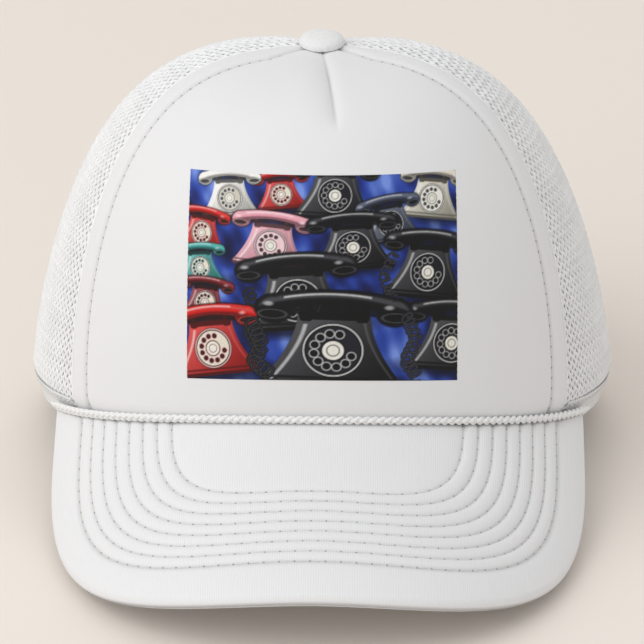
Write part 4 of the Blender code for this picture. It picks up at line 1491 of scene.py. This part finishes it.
def build_sweatband(context):
    """The folded sweatband over its foam pad, thicker across the forehead, with top stitching."""
    angle = np.linspace(-BAND_ANGLE, BAND_ANGLE, 421)
    pad = 1.0 - smoothstep(PAD_ANGLE - 8.0, PAD_ANGLE + 8.0, np.abs(angle))
    depth = (2.3 + 2.2 * pad)[:, None] * MM
    ends = 1.0 - smoothstep(BAND_ANGLE - 1.5, BAND_ANGLE, np.abs(angle)) * 0.5
    depth = depth * ends[:, None]
    t_out = np.linspace(1.0, 0.0, 22)
    turn = np.linspace(0.0, np.pi, 10)[1:-1]
    t_in = np.linspace(0.0, 1.0, 34)
    t = np.concatenate([t_out, np.zeros_like(turn), t_in])
    none_out, none_in = np.zeros_like(t_out), np.zeros_like(t_in)
    mix = np.concatenate([none_out, (1 - np.cos(turn)) / 2, np.ones_like(t_in)])
    lift = np.concatenate([none_out, -np.sin(turn), none_in]) * 1.1 * MM
    swell = np.sin(np.pi * np.clip(t_in / BAND_ROW, 0, 1)) ** 0.6
    puff = np.concatenate([none_out, np.zeros_like(turn), swell])
    row = dip(t - BAND_ROW, 0.028) * (mix == 1)
    ripple = 0.12 * MM * np.sin(angle * 2.9)[:, None] * np.sin(np.pi * t)[None, :] * (mix == 1)
    inset = BAND_INSET + depth * mix[None, :] + 0.55 * MM * puff[None, :] * (0.4 + 0.6 * pad[:, None])
    inset = inset - 0.5 * MM * row[None, :] + ripple
    squeeze = smoothstep(0.90, 1.0, t)[None, :]
    middle = BAND_INSET + depth * 0.5
    inset = inset + (middle - inset) * squeeze * 0.7
    share = np.broadcast_to(BAND_FOOT + t * (BAND_TOP - BAND_FOOT), (len(angle), len(t)))
    rings = CROWN.at(angle[:, None], share, -inset)
    rings[..., 2] += lift[None, :] + 1.0 * MM
    field = ring_field(rings)
    # Painted shade along the stitch row's groove, which the row also sinks.
    seam = np.broadcast_to(row[None, :], rings.shape[:2])
    obj = face_out(loft("sweatband_cover", rings, {"cloth": field, "seam": 0.7 * seam[..., None]}))
    dress(obj, finish_of("band"), replaces=("sweatband", "forehead_pad"))
    k = int(np.argmax(row))
    inward = -CROWN.facing(angle, share[:, k])
    stitches(
        "band_stitches", [rings[:, k] + inward * 0.15 * MM], *BAND_STITCH, finish_of("thread")
    )


def build_label(context):
    """A blank folded satin tag sewn into the sweatband."""
    shares = np.linspace(0.060, 0.150, 33)
    wall_tape(
        "satin_tag", level(TAG_MIDDLE), shares, level(TAG_WIDTH),
        BAND_INSET + 3.6 * MM, 0.35 * MM, "label", ("size_label",), (),
    )
    edge = []
    for share in (0.064, 0.146):
        angle = np.linspace(126.8, 139.2, 40)
        edge.append(CROWN.at(angle, share, -BAND_INSET - 4.2 * MM))
    stitches("tag_stitches", edge, *TAG_STITCH, finish_of("thread"))


# --- Visor and rope ---


def row_steps(settings):
    """How the stitch rows stand off the edge at the sides and the front, and how square they are."""

    def steps(margin, pitch):
        return lambda depth: np.where(depth < 0, margin * (1 + depth), margin + pitch * depth)

    def square(depth):
        rise = np.where(depth < 0, ROW_SQUARENESS[0] - VISOR_SQUARENESS, ROW_SQUARENESS[1])
        return ROW_SQUARENESS[0] + rise * depth

    at_side = steps(settings.side_margin, settings.side_pitch)
    at_front = steps(settings.front_margin, settings.front_pitch)
    return at_side, at_front, square


def visor_relief(v, u, settings):
    """The visor cover's swelling between its stitch rows, and the shade painted into the rows' grooves."""
    at_side, at_front, square = row_steps(settings)
    depth = visor_depth(v, u, at_side, at_front, -1.0, 13.0, square)
    last = settings.row_count - 1
    near = np.clip(np.round(depth), 0, last)
    pitch = (settings.side_pitch + settings.front_pitch) / 2
    away = (depth - near) * pitch
    between = np.where(
        (depth > 0) & (depth < last), np.abs(np.sin(np.pi * depth)) ** 0.75, 0.0
    )
    border = np.where(depth <= 0, np.sin(np.pi * np.clip(1 + depth, 0, 1)) ** 0.6, 0.0)
    centre = np.where(depth >= last, 1.0 - np.exp(-(depth - last) * 2.2), 0.0)
    out = settings.channel_puff * (between + 0.9 * border + centre)
    out = out - 0.26 * MM * dip(away, 0.50 * MM)
    # Painted shade along each stitch row's groove.
    return out, 0.55 * dip(away, 0.32 * MM)


def visor_cover(name, up, kind, replaces, settings):
    """One cover of the visor: up is 1 for the top and -1 for the underside."""
    share = np.linspace(-1.0, 1.0, 433)
    t = np.linspace(0.0, 1.0, 161) ** 1.22
    angle = share * VISOR_SEAM_ANGLE
    clear = 0.5 * MM + (0.0 if up > 0 else 1.3 * MM) * visor_lean(angle)
    inner = visor_inner(angle, clear)
    outer = visor_outer(share)
    v = outer[0][:, None] + (inner[0] - outer[0])[:, None] * t[None, :]
    u = outer[1][:, None] + (inner[1] - outer[1])[:, None] * t[None, :]
    inset = visor_depth(v, u, lambda q: q, lambda q: q, 0.0, 0.06)
    radius = COVER_LIFT
    bend = np.clip(1.0 - inset / radius, 0.0, 1.0)
    height = radius * np.sqrt(np.maximum(1.0 - bend**2, 0.0))
    relief, dark = visor_relief(v, u, settings)
    top = np.maximum(height, 0.06 * MM) + relief * smoothstep(0.0, 2.4 * MM, inset)
    across_v, across_u = (inner[0] - outer[0])[:, None], (inner[1] - outer[1])[:, None]
    size = np.hypot(across_v, across_u)
    wall = COVER * bend * (inset < radius)
    low = np.maximum((radius - COVER) * np.sqrt(np.maximum(1.0 - bend**2, 0.0)), 0.04 * MM)
    outer_grid = visor_point(v, u, up * top)
    inner_grid = visor_point(v + across_v / size * wall, u + across_u / size * wall, up * low)
    # Painted shade in the crease where the cover rolls over the board's edge.
    crease = 0.8 * dip(inset, 0.25 * MM)
    seam = np.maximum(dark, crease)
    # On the top cover, a painted shadow of the rope along the inner edge.
    if up > 0:
        seam = np.maximum(seam, dip(np.maximum((1.0 - t) * size - ROPE_SHADE, 0.0), 0.5 * MM))
    fields = {"cloth": cloth_field(v / MM, u / MM), "seam": seam[..., None]}
    obj = shell(name, outer_grid, inner_grid, 8, fields)
    face_out(obj)
    return dress(obj, finish_of(kind), replaces=replaces)


def visor_rows(up, settings):
    """The stitch rows of one cover, cut off where they reach the crown."""
    lines = []
    for k in range(settings.row_count):
        v, u = visor_line(*(float(step(np.array(float(k)))) for step in row_steps(settings)))
        plan = visor_point(v, u, 0.0) - SHIFT
        out = np.hypot(plan[:, 0] / RIM_HALF_WIDTH, plan[:, 1] / RIM_FRONT)
        kept = (out > 1.012) & (u > -VISOR_ARM_END + 2 * MM)
        lift = up * (COVER_LIFT - 0.10 * MM)
        lines += kept_runs(visor_point(v, u, lift), kept)
    return lines


def build_visor(context):
    """Both covers of the visor, puffed between eight stitch rows and rolled over the board's edge."""
    settings = context.scene.cap_visor
    visor_cover("visor_top", 1, "visor", ("visor_top_cover",), settings)
    visor_cover("visor_under", -1, "visor", ("visor_under_cover",), settings)
    for word, up in (("top", 1), ("under", -1)):
        rows = visor_rows(up, settings)
        stitches(
            "visor_stitches_" + word, rows, settings.stitch, 0.9 * MM, 0.20 * MM, finish_of("thread")
        )
        # Painted shade: dark lenses half a stitch on, where the thread sinks into the needle pricks.
        shade_marks = [after_half(row, settings.stitch) + [0.0, 0.0, up * 0.06 * MM] for row in rows]
        stitches(
            "visor_pricks_" + word, shade_marks, settings.stitch, settings.stitch - 0.75 * MM, 0.26 * MM,
            finish_of("prick"),
        )
    repaint("visor_board", "board")


def build_rope(context):
    """The rope along the visor's seam: three strands plaited together."""
    settings = context.scene.cap_visor
    angle = np.linspace(-ROPE_ANGLE, ROPE_ANGLE, 900)
    flare = ROPE_STANDOFF * np.sin(np.radians(angle)) ** 2
    v, u = visor_inner(angle, ROPE_HELD + flare - ROPE_LIFT * visor_lean(angle))
    centre = visor_point(v, u, ROPE_LIFT)
    tangent = np.gradient(centre, axis=0)
    tangent /= np.linalg.norm(tangent, axis=1, keepdims=True)
    up = np.array([0.0, 0.0, 1.0]) - tangent * tangent[:, 2:3]
    up /= np.linalg.norm(up, axis=1, keepdims=True)
    out = np.cross(tangent, up)
    # The flat side of the plait faces forwards and up.
    lean = math.radians(35.0)
    wide = up * math.cos(lean) + out * math.sin(lean)
    face = np.cross(tangent, wide)
    along = np.concatenate([[0.0], np.cumsum(np.linalg.norm(np.diff(centre, axis=0), axis=1))])
    taper = smoothstep(0.0, 5 * MM, along) * smoothstep(0.0, 5 * MM, along[-1] - along)
    lines = []
    for k in range(3):
        phase = 2 * np.pi * (along / (3 * settings.rope_period) + k / 3)
        a = settings.rope_radius * 0.56 * np.sin(phase) * (0.35 + 0.65 * taper)
        b = settings.rope_radius * 0.30 * np.sin(2 * phase) * (0.35 + 0.65 * taper)
        lines.append(centre + wide * a[:, None] + face * b[:, None])
    cords(
        "plaited_rope", lines, settings.rope_radius * 0.46, 10, finish_of("rope"),
        replaces=("visor_rope",),
    )


# --- Button ---


def build_button(context):
    """The covered button: jersey drawn over a domed shell and gathered at its foot."""
    steps, turns = 40, 96
    a = np.linspace(0.0, 1.0, steps)[1:]
    angle = np.linspace(0.0, 2 * np.pi, turns, endpoint=False)
    profile = []
    for t in a:
        if t < 0.80:
            w = t / 0.80 * math.pi / 2
            height = BUTTON_HEIGHT * math.cos(w) ** 0.74 * 0.86 + 0.55 * MM
            profile.append((math.sin(w) ** 0.86, height))
        else:
            w = (t - 0.80) / 0.20
            profile.append((1.0 - 0.20 * w**1.5, 0.55 * MM - (0.55 * MM - 0.10 * MM) * w**0.6))
    points = [[0.0, 0.0, BUTTON_HEIGHT * 0.86 + 0.55 * MM]]
    for (reach, height), t in zip(profile, a):
        gather = 1.0 + 0.014 * np.sin(angle * 22) * float(smoothstep(0.55, 0.95, t))
        dent = 1.0 + 0.010 * np.sin(angle * 3 + 0.8)
        for w, g in zip(angle, gather * dent):
            radius = BUTTON_RADIUS * reach * g
            points.append([radius * math.cos(w), radius * math.sin(w), height])
    points = np.array(points) + np.array([0.0, APEX_Y, APEX_Z + 0.2 * MM]) + SHIFT
    faces = [[0, 1 + k, 1 + (k + 1) % turns] for k in range(turns)]
    for j in range(len(a) - 1):
        base = 1 + j * turns
        faces += [
            [base + k, base + turns + k, base + turns + (k + 1) % turns, base + (k + 1) % turns]
            for k in range(turns)
        ]
    faces.append(list(range(1 + (len(a) - 1) * turns, 1 + len(a) * turns))[::-1])
    obj = face_out(mesh_object("button_cover", points, faces))
    dress(obj, finish_of("button"), replaces=("top_button",))
    repaint("button_rivet", "steel")


# --- Rear opening and snap strap ---


def build_binding(context):
    """The tape folded over the rear opening's edge, with a stitch row on both faces."""
    foot = (HEM_TOP * float(CROWN.length(HEM_END)) + 1.5 * MM) / ARCH_HEIGHT
    start = math.degrees(math.asin(foot ** (ARCH_SQUARENESS / 2.0)))
    turn = np.linspace(start, 180.0 - start, 240)
    path = [(k / 8, -0.85 - 0.35 * math.sin(math.pi * k / 8)) for k in range(8, -1, -1)]
    path += [
        (-0.16 * math.sin(a), 0.6 - 1.45 * math.cos(a)) for a in np.linspace(0, math.pi, 9)[1:-1]
    ]
    path += [(k / 8, 2.05 + 0.35 * math.sin(math.pi * k / 8)) for k in range(0, 9)]
    path += [(1.0, 1.45), (0.5, 1.30), (0.5, -0.10), (1.0, -0.25)]
    rings = []
    for away, inset in path:
        angle, share = arch_place(turn, away * OPENING_TAPE_WIDTH)
        rings.append(CROWN.at(angle, np.clip(share, 0, 1), -inset * MM))
    rings = np.stack(rings, axis=1)
    # Painted shade in the groove of the stitch row.
    seam = [0.8 * float(dip(away - HEM_ROW, 0.08)) for away, _ in path]
    seam = np.broadcast_to(np.array(seam)[None, :], rings.shape[:2])
    obj = face_out(loft("opening_tape", rings, {"cloth": ring_field(rings), "seam": seam[..., None]}))
    dress(obj, finish_of("tape"), replaces=("rear_arch_binding",))
    angle, share = arch_place(turn, HEM_ROW * OPENING_TAPE_WIDTH)
    rows = [CROWN.at(angle, share, 1.08 * MM), CROWN.at(angle, share, -2.28 * MM)]
    stitches("opening_stitches", rows, *OPENING_STITCH, finish_of("thread"))


def strap_frames(off):
    """The rim's own directions at these places: the centre, level to the inside, and up."""
    angle = 180.0 - off
    centre = CROWN.at(angle, 0.0)
    tangent = CROWN.at(angle + 0.5, 0.0) - CROWN.at(angle - 0.5, 0.0)
    across = np.stack([-tangent[:, 1], tangent[:, 0], np.zeros_like(off)], axis=1)
    across /= np.linalg.norm(across, axis=1, keepdims=True)
    up = CROWN.at(angle, STRAP_HIGH / CROWN.length(angle)) - centre
    up /= np.linalg.norm(up, axis=1, keepdims=True)
    return centre, across, up


def strap_inset(off, stepped):
    if not stepped:
        return np.full_like(off, STRAP_INSET)
    step = smoothstep(-STRAP_HINGE, STRAP_STEP - STRAP_HINGE, off)
    return STRAP_INSET + (PEG_STRAP_INSET - STRAP_INSET) * step


def strap_strip(name, side):
    """One strap from its sewn root to its rounded tip, as a closed strip with soft edges."""
    off = np.linspace(STRAP_ROOT_FROM, STRAP_TIP_OFF, 150) * side
    centre, across, up = strap_frames(off)
    inset = strap_inset(off, side < 0)
    length = np.concatenate([[0], np.cumsum(np.linalg.norm(np.diff(centre, axis=0), axis=1))])
    left = length[-1] - length
    corner = 6.0 * MM
    cut = corner * (1 - np.sqrt(np.maximum(1 - np.clip(1 - left / corner, 0, 1) ** 2, 0.0)))
    half = (STRAP_HIGH - STRAP_LOW) / 2 - cut
    middle = (STRAP_HIGH + STRAP_LOW) / 2
    thick = STRAP / 2 * (1.0 - 0.45 * dip(np.abs(off) - STRAP_HINGE, 0.5))
    radius = 0.45 * MM
    ring = []
    for sx, sy in ((-1, -1), (1, -1), (1, 1), (-1, 1)):
        first = {(-1, -1): 180, (1, -1): 270, (1, 1): 0, (-1, 1): 90}[(sx, sy)]
        for k in range(4):
            a = math.radians(first + 30 * k)
            ring.append((sx, sy, math.cos(a), math.sin(a)))
    rings = np.zeros((len(off), len(ring), 3))
    for k, (sx, sy, ca, sa) in enumerate(ring):
        a = inset + sx * (thick - np.minimum(radius, thick)) + np.minimum(radius, thick) * ca
        b = middle + sy * (half - radius) + radius * sa
        rings[:, k] = centre + across * a[:, None] + up * b[:, None]
    return face_out(loft(name, rings))


def snap_places(side):
    """The places of the holes (side 1) or pegs (side -1), from the tip, and their inward directions."""
    off = (SNAP_FIRST + SNAP_PITCH * np.arange(SNAP_COUNT)) * side
    centre, across, up = strap_frames(off)
    inset = strap_inset(off, side < 0)
    middle = (STRAP_HIGH + STRAP_LOW) / 2
    return centre + across * inset[:, None] + up * middle, across


def punched(obj, places, across, radius):
    """Cuts round holes through a strap."""
    bm = bmesh.new()
    for place, axis in zip(places, across):
        turn = Vector(axis).to_track_quat("Z", "Y").to_matrix().to_4x4()
        bmesh.ops.create_cone(
            bm, cap_ends=True, segments=32, radius1=radius, radius2=radius, depth=8 * MM,
            matrix=Matrix.Translation(Vector(place)) @ turn,
        )
    mesh = bpy.data.meshes.new("punches")
    bm.to_mesh(mesh)
    bm.free()
    punches = add_object("punches", mesh)
    cut = obj.modifiers.new("Holes", "BOOLEAN")
    cut.operation, cut.object, cut.solver = "DIFFERENCE", punches, "EXACT"
    bpy.context.view_layer.update()
    graph = bpy.context.evaluated_depsgraph_get()
    made = bpy.data.meshes.new_from_object(obj.evaluated_get(graph))
    obj.modifiers.clear()
    obj.data = made
    bpy.data.objects.remove(punches)
    made.shade_smooth()
    made.set_sharp_from_angle(angle=math.radians(35))
    return obj


def hinge_ends(side):
    """Points before and after a strap's hinge."""
    off = np.array([STRAP_HINGE + 0.9, STRAP_HINGE - 1.2]) * side
    centre, across, up = strap_frames(off)
    inset = strap_inset(off, side < 0)
    places = centre + across * inset[:, None] + up * ((STRAP_HIGH + STRAP_LOW) / 2)
    return places[0].tolist(), places[1].tolist()


def build_strap(context):
    """The snap strap's two halves, one with lipped holes and one with pegs, each thinned along a hinge line
    near its root.
    """
    settings = context.scene.cap_strap
    for side, word in ((1, "hole"), (-1, "peg")):
        obj = strap_strip(word + "_half", side)
        places, across = snap_places(side)
        if side > 0:
            punched(obj, places, across, settings.hole / 2)
        body = word + "_strap"
        start, end = hinge_ends(side)
        nodes = (word + "_strap_root", word + "_strap")
        dress(obj, finish_of("strap"), None, nodes)
        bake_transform(obj)
        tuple(start)
        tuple(end)
        if side > 0:
            both = np.concatenate([places - across * STRAP / 2, places + across * STRAP / 2])
            helper = mesh_object(
                "hole_lips", both, [], {"facing": np.concatenate([across, across])}, smooth=False
            )
            made = grown(
                helper, "ring", Radius=settings.hole / 2 + 0.42 * MM, Lip=0.38 * MM,
                Material=finish_of("strap"),
            )
        else:
            foot = places - across * STRAP * 0.3
            helper = mesh_object("snap_pegs", foot, [], {"facing": -across}, smooth=False)
            made = grown(
                helper, "peg", Shank=settings.peg / 2, Head=settings.peg / 2 + 0.45 * MM,
                Height=STRAP * 0.2 + settings.peg_height - 0.7 * MM, Material=finish_of("strap"),
            )
        dress(made, finish_of("strap"), body)
    lines = []
    for side in (1, -1):
        for off in STRAP_STITCHES_AT:
            place = np.array([off * side])
            centre, across, up = strap_frames(place)
            heights = np.linspace(STRAP_LOW + 1.5 * MM, STRAP_HIGH - 1.5 * MM, 20)
            for face in (-1, 1):
                inset = STRAP_INSET + face * (STRAP / 2 + 0.08 * MM)
                lines.append(centre + across * inset + up * heights[:, None])
    stitches("strap_stitches", lines, *STRAP_STITCH, finish_of("thread"))


# --- Stage ---


def aimed(obj, place, target):
    obj.location = place
    obj.rotation_mode = "QUATERNION"
    obj.rotation_quaternion = (Vector(target) - Vector(place)).to_track_quat("-Z", "Y")


def area_light(name, place, target, size, power, colour):
    light = bpy.data.lights.new(name, "AREA")
    light.size = size
    light.energy = power
    light.color = colour
    obj = bpy.data.objects.new(name, light)
    bpy.context.scene.collection.objects.link(obj)
    aimed(obj, place, target)


def build_stage(context):
    """A pale paper floor that curves up behind, soft studio light, and the camera."""
    settings = context.scene.cap_stage
    depth, wide = 2.4, 6.0
    profile = [(-3.0, 0.0), (-1.5, 0.0), (0.0, 0.0), (depth, 0.0)]
    profile += [
        (depth + 1.2 * math.sin(a), 1.2 * (1 - math.cos(a))) for a in np.linspace(0, math.pi / 2, 13)[1:]
    ]
    profile += [(depth + 1.2, 4.0)]
    columns = np.linspace(-wide, wide, 5)
    points = [[x, y, z] for x in columns for y, z in profile]
    rows = len(profile)
    faces = [
        [a * rows + b, (a + 1) * rows + b, (a + 1) * rows + b + 1, a * rows + b + 1]
        for a in range(len(columns) - 1) for b in range(rows - 1)
    ]
    floor = mesh_object("paper_floor", points, faces)
    floor.data.materials.append(finish_of("floor"))

    target = (0.0, 0.01, 0.06)
    area_light("key_light", (-1.75, -1.05, 1.75), target, 2.6, settings.key_power, (1.0, 1.0, 1.0))
    area_light("top_light", (0.0, -0.15, 2.3), target, 2.4, settings.top_power, (1.0, 1.0, 1.0))
    world = bpy.data.worlds.new("pale_room")
    world.use_nodes = True
    background = world.node_tree.nodes["Background"]
    background.inputs["Color"].default_value = (*settings.room_colour, 1.0)
    background.inputs["Strength"].default_value = settings.room_strength
    context.scene.world = world
    context.scene.view_settings.view_transform = "Standard"

    azimuth, elevation = settings.azimuth, settings.elevation
    back = Vector((
        math.sin(azimuth) * math.cos(elevation), -math.cos(azimuth) * math.cos(elevation),
        math.sin(elevation),
    ))
    aim = Vector(settings.aim)
    lens = bpy.data.cameras.new("camera")
    lens.sensor_width = 36.0
    lens.lens = settings.lens
    lens.shift_x, lens.shift_y = settings.shift
    lens.clip_start, lens.clip_end = 0.05, 50.0
    camera = bpy.data.objects.new("camera", lens)
    context.scene.collection.objects.link(camera)
    aimed(camera, aim + back * settings.distance, aim)
    context.scene.camera = camera


# --- Settings ---


def length_setting(name, text, value, low=0.0, high=0.3):
    return bpy.props.FloatProperty(
        name=name, description=text, default=value, min=low, max=high, precision=5,
        subtype="DISTANCE", unit="LENGTH",
    )


def colour_setting(name, text, value):
    return bpy.props.FloatVectorProperty(
        name=name, description=text, default=value, size=3, min=0.0, max=1.0, subtype="COLOR"
    )


class CrownSettings(bpy.types.PropertyGroup):
    """Sizes of the foam front, its print and the net."""

    foam_puff: length_setting("Foam Puff", "How far the foam front swells inside its stitch line", 0.0007)
    dart_depth: length_setting("Dart Depth", "How deep the crease below the button is", 0.0022)
    print_foot: length_setting("Print Foot", "Height of the print's lower edge above the rim", 0.0192)
    net_pitch: length_setting("Net Pitch", "Distance between neighbouring yarns of the net", 0.00165, 0.0005)
    net_row: length_setting("Net Row", "Height of one hole and its crossing", 0.0034, 0.001)
    net_swing: length_setting("Net Swing", "How far each yarn swings to each side", 0.00030)
    net_yarn: length_setting("Net Yarn", "Radius of the net's yarn", 0.00058, 0.0001)


class VisorSettings(bpy.types.PropertyGroup):
    """Sizes of the visor's stitch rows and of the rope."""

    row_count: bpy.props.IntProperty(
        name="Row Count", description="Number of stitch rows on the visor", default=8, min=1, max=12
    )
    side_margin: length_setting("Side Margin", "First row's distance from the edge at the sides", 0.0153)
    side_pitch: length_setting("Side Pitch", "Distance between rows at the sides", 0.0053)
    front_margin: length_setting("Front Margin", "First row's distance from the edge in front", 0.0155)
    front_pitch: length_setting("Front Pitch", "Distance between rows in front", 0.0040)
    channel_puff: length_setting("Channel Puff", "How far the cloth swells between the rows", 0.0007)
    stitch: length_setting("Stitch", "Length of one stitch and its gap", 0.0048, 0.001)
    rope_radius: length_setting("Rope Radius", "Radius of the whole rope", 0.0015, 0.0005)
    rope_period: length_setting(
        "Rope Period", "Distance between one bump of the plait and the next", 0.0027, 0.001
    )


class StrapSettings(bpy.types.PropertyGroup):
    """Sizes of the snap strap."""

    hole: length_setting("Hole", "Diameter of the strap's holes", 0.0052, 0.001)
    peg: length_setting("Peg", "Diameter of the strap's pegs", 0.0032, 0.001)
    peg_height: length_setting("Peg Height", "How far the pegs stand off the strap", 0.0023, 0.0005)


class ColourSettings(bpy.types.PropertyGroup):
    """Colours of the finishes."""

    foam: colour_setting("Foam Cloth", "Colour of the foam front", (0.80, 0.80, 0.805))
    mesh: colour_setting("Mesh Yarn", "Colour of the net", (0.92, 0.925, 0.93))
    knit: colour_setting("Hem Knit", "Colour of the net's hem", (0.86, 0.865, 0.87))
    visor: colour_setting("Visor Twill", "Colour of the visor's cloth", (0.81, 0.81, 0.815))
    rope: colour_setting("Rope", "Colour of the plaited rope", (0.86, 0.86, 0.85))
    button: colour_setting("Button Cloth", "Colour of the covered button", (0.80, 0.80, 0.80))
    tape: colour_setting("Tape", "Colour of the cotton tapes", (0.76, 0.76, 0.75))
    band: colour_setting("Sweatband", "Colour of the sweatband", (0.78, 0.78, 0.77))
    strap: colour_setting("Strap", "Colour of the snap strap", (0.80, 0.80, 0.80))
    thread: colour_setting("Thread", "Colour of the sewing thread", (0.78, 0.78, 0.77))
    prick: colour_setting("Pricks", "Colour of the shaded needle pricks", (0.42, 0.42, 0.43))
    label: colour_setting("Tag", "Colour of the satin tag", (0.84, 0.84, 0.83))
    steel: colour_setting("Steel", "Colour of the button's rivet", (0.60, 0.60, 0.59))
    board: colour_setting("Board", "Colour of the visor board", (0.60, 0.60, 0.58))
    ink: colour_setting("Print", "Colour of the print where it is unpainted", (0.30, 0.30, 0.35))
    floor: colour_setting("Floor", "Colour of the paper floor", (0.865, 0.803, 0.735))


class StageSettings(bpy.types.PropertyGroup):
    """The light and the camera."""

    key_power: bpy.props.FloatProperty(
        name="Key Power", description="Power of the main light", default=31.0, min=0.0, unit="POWER"
    )
    top_power: bpy.props.FloatProperty(
        name="Top Power", description="Power of the light overhead", default=6.8, min=0.0, unit="POWER"
    )
    room_colour: colour_setting("Room Colour", "Colour of the light all round", (0.985, 0.99, 1.0))
    room_strength: bpy.props.FloatProperty(
        name="Room Strength", description="Strength of the light all round", default=0.68, min=0.0
    )
    azimuth: bpy.props.FloatProperty(
        name="Azimuth", description="Camera's turn round the cap from the front",
        default=math.radians(1.0), subtype="ANGLE", unit="ROTATION",
    )
    elevation: bpy.props.FloatProperty(
        name="Elevation", description="Camera's height above the horizon",
        default=math.radians(27.0), subtype="ANGLE", unit="ROTATION",
    )
    distance: length_setting("Distance", "Camera's distance from its aim", 1.4, 0.2, 5.0)
    lens: bpy.props.FloatProperty(
        name="Lens", description="Focal length for a 36 mm sensor, in millimetres", default=232.4, min=10.0
    )
    aim: bpy.props.FloatVectorProperty(
        name="Aim", description="Point that the camera looks at", default=(0.0, 0.0165, 0.065),
        size=3, subtype="TRANSLATION", unit="LENGTH", precision=4,
    )
    shift: bpy.props.FloatVectorProperty(
        name="Shift", description="Camera's shift across and up", default=(0.00155, -0.0745), size=2
    )


# --- Operators, panel and running ---


class CapOperator:
    """What every building operator shares."""

    bl_options = {"REGISTER", "UNDO"}
    build = None

    def execute(self, context):
        type(self).build(context)
        return {"FINISHED"}


class CAP_OT_foam_front(CapOperator, bpy.types.Operator):
    """Build the foam front panel and its stitch lines"""

    bl_idname = "cap.foam_front"
    bl_label = "Foam Front"
    build = build_foam_front


class CAP_OT_front_print(CapOperator, bpy.types.Operator):
    """Build the printed picture on the front"""

    bl_idname = "cap.front_print"
    bl_label = "Front Print"
    build = build_print


class CAP_OT_net(CapOperator, bpy.types.Operator):
    """Build the four net panels"""

    bl_idname = "cap.net"
    bl_label = "Net Panels"
    build = build_net


class CAP_OT_hems(CapOperator, bpy.types.Operator):
    """Build the net's folded hems"""

    bl_idname = "cap.hems"
    bl_label = "Net Hems"
    build = build_hems


class CAP_OT_seam_tapes(CapOperator, bpy.types.Operator):
    """Build the tapes inside the seams"""

    bl_idname = "cap.seam_tapes"
    bl_label = "Seam Tapes"
    build = build_seam_tapes


class CAP_OT_sweatband(CapOperator, bpy.types.Operator):
    """Build the padded sweatband"""

    bl_idname = "cap.sweatband"
    bl_label = "Sweatband"
    build = build_sweatband


class CAP_OT_tag(CapOperator, bpy.types.Operator):
    """Build the blank satin tag"""

    bl_idname = "cap.tag"
    bl_label = "Satin Tag"
    build = build_label


class CAP_OT_visor(CapOperator, bpy.types.Operator):
    """Build the visor's covers and stitch rows"""

    bl_idname = "cap.visor"
    bl_label = "Visor"
    build = build_visor


class CAP_OT_rope(CapOperator, bpy.types.Operator):
    """Build the plaited rope over the visor's seam"""

    bl_idname = "cap.rope"
    bl_label = "Rope"
    build = build_rope


class CAP_OT_button(CapOperator, bpy.types.Operator):
    """Build the covered button"""

    bl_idname = "cap.button"
    bl_label = "Button"
    build = build_button


class CAP_OT_opening_tape(CapOperator, bpy.types.Operator):
    """Build the tape round the rear opening"""

    bl_idname = "cap.opening_tape"
    bl_label = "Opening Tape"
    build = build_binding


class CAP_OT_snap_strap(CapOperator, bpy.types.Operator):
    """Build the snap strap with its holes and pegs"""

    bl_idname = "cap.snap_strap"
    bl_label = "Snap Strap"
    build = build_strap


class CAP_OT_stage(CapOperator, bpy.types.Operator):
    """Build the floor, the lights and the camera"""

    bl_idname = "cap.stage"
    bl_label = "Stage"
    build = build_stage


OPERATORS = (
    CAP_OT_foam_front, CAP_OT_front_print, CAP_OT_net, CAP_OT_hems, CAP_OT_seam_tapes,
    CAP_OT_sweatband, CAP_OT_tag, CAP_OT_visor, CAP_OT_rope, CAP_OT_button,
    CAP_OT_opening_tape, CAP_OT_snap_strap, CAP_OT_stage,
)
GROUPS = {
    "cap_crown": CrownSettings, "cap_visor": VisorSettings, "cap_strap": StrapSettings,
    "cap_colours": ColourSettings, "cap_stage": StageSettings,
}


class CAP_PT_sidebar(bpy.types.Panel):
    """The cap's settings and its building steps"""

    bl_label = "Foam-Front Cap"
    bl_space_type = "VIEW_3D"
    bl_region_type = "UI"
    bl_category = "Cap"

    def draw(self, context):
        for key, group in GROUPS.items():
            box = self.layout.box()
            box.label(text=group.__doc__)
            settings = getattr(context.scene, key)
            for prop in group.__annotations__:
                box.prop(settings, prop)
        for operator in OPERATORS:
            self.layout.operator(operator.bl_idname)


def register():
    for group in GROUPS.values():
        bpy.utils.register_class(group)
    for operator in OPERATORS:
        bpy.utils.register_class(operator)
    bpy.utils.register_class(CAP_PT_sidebar)
    for key, group in GROUPS.items():
        setattr(bpy.types.Scene, key, bpy.props.PointerProperty(type=group))


def unregister():
    for key in GROUPS:
        delattr(bpy.types.Scene, key)
    bpy.utils.unregister_class(CAP_PT_sidebar)
    for operator in reversed(OPERATORS):
        bpy.utils.unregister_class(operator)
    for group in reversed(list(GROUPS.values())):
        bpy.utils.unregister_class(group)


def main():
    register()
    for operator in OPERATORS:
        area, name = operator.bl_idname.split(".")
        getattr(getattr(bpy.ops, area), name)()


if __name__ == "__main__":
    main()
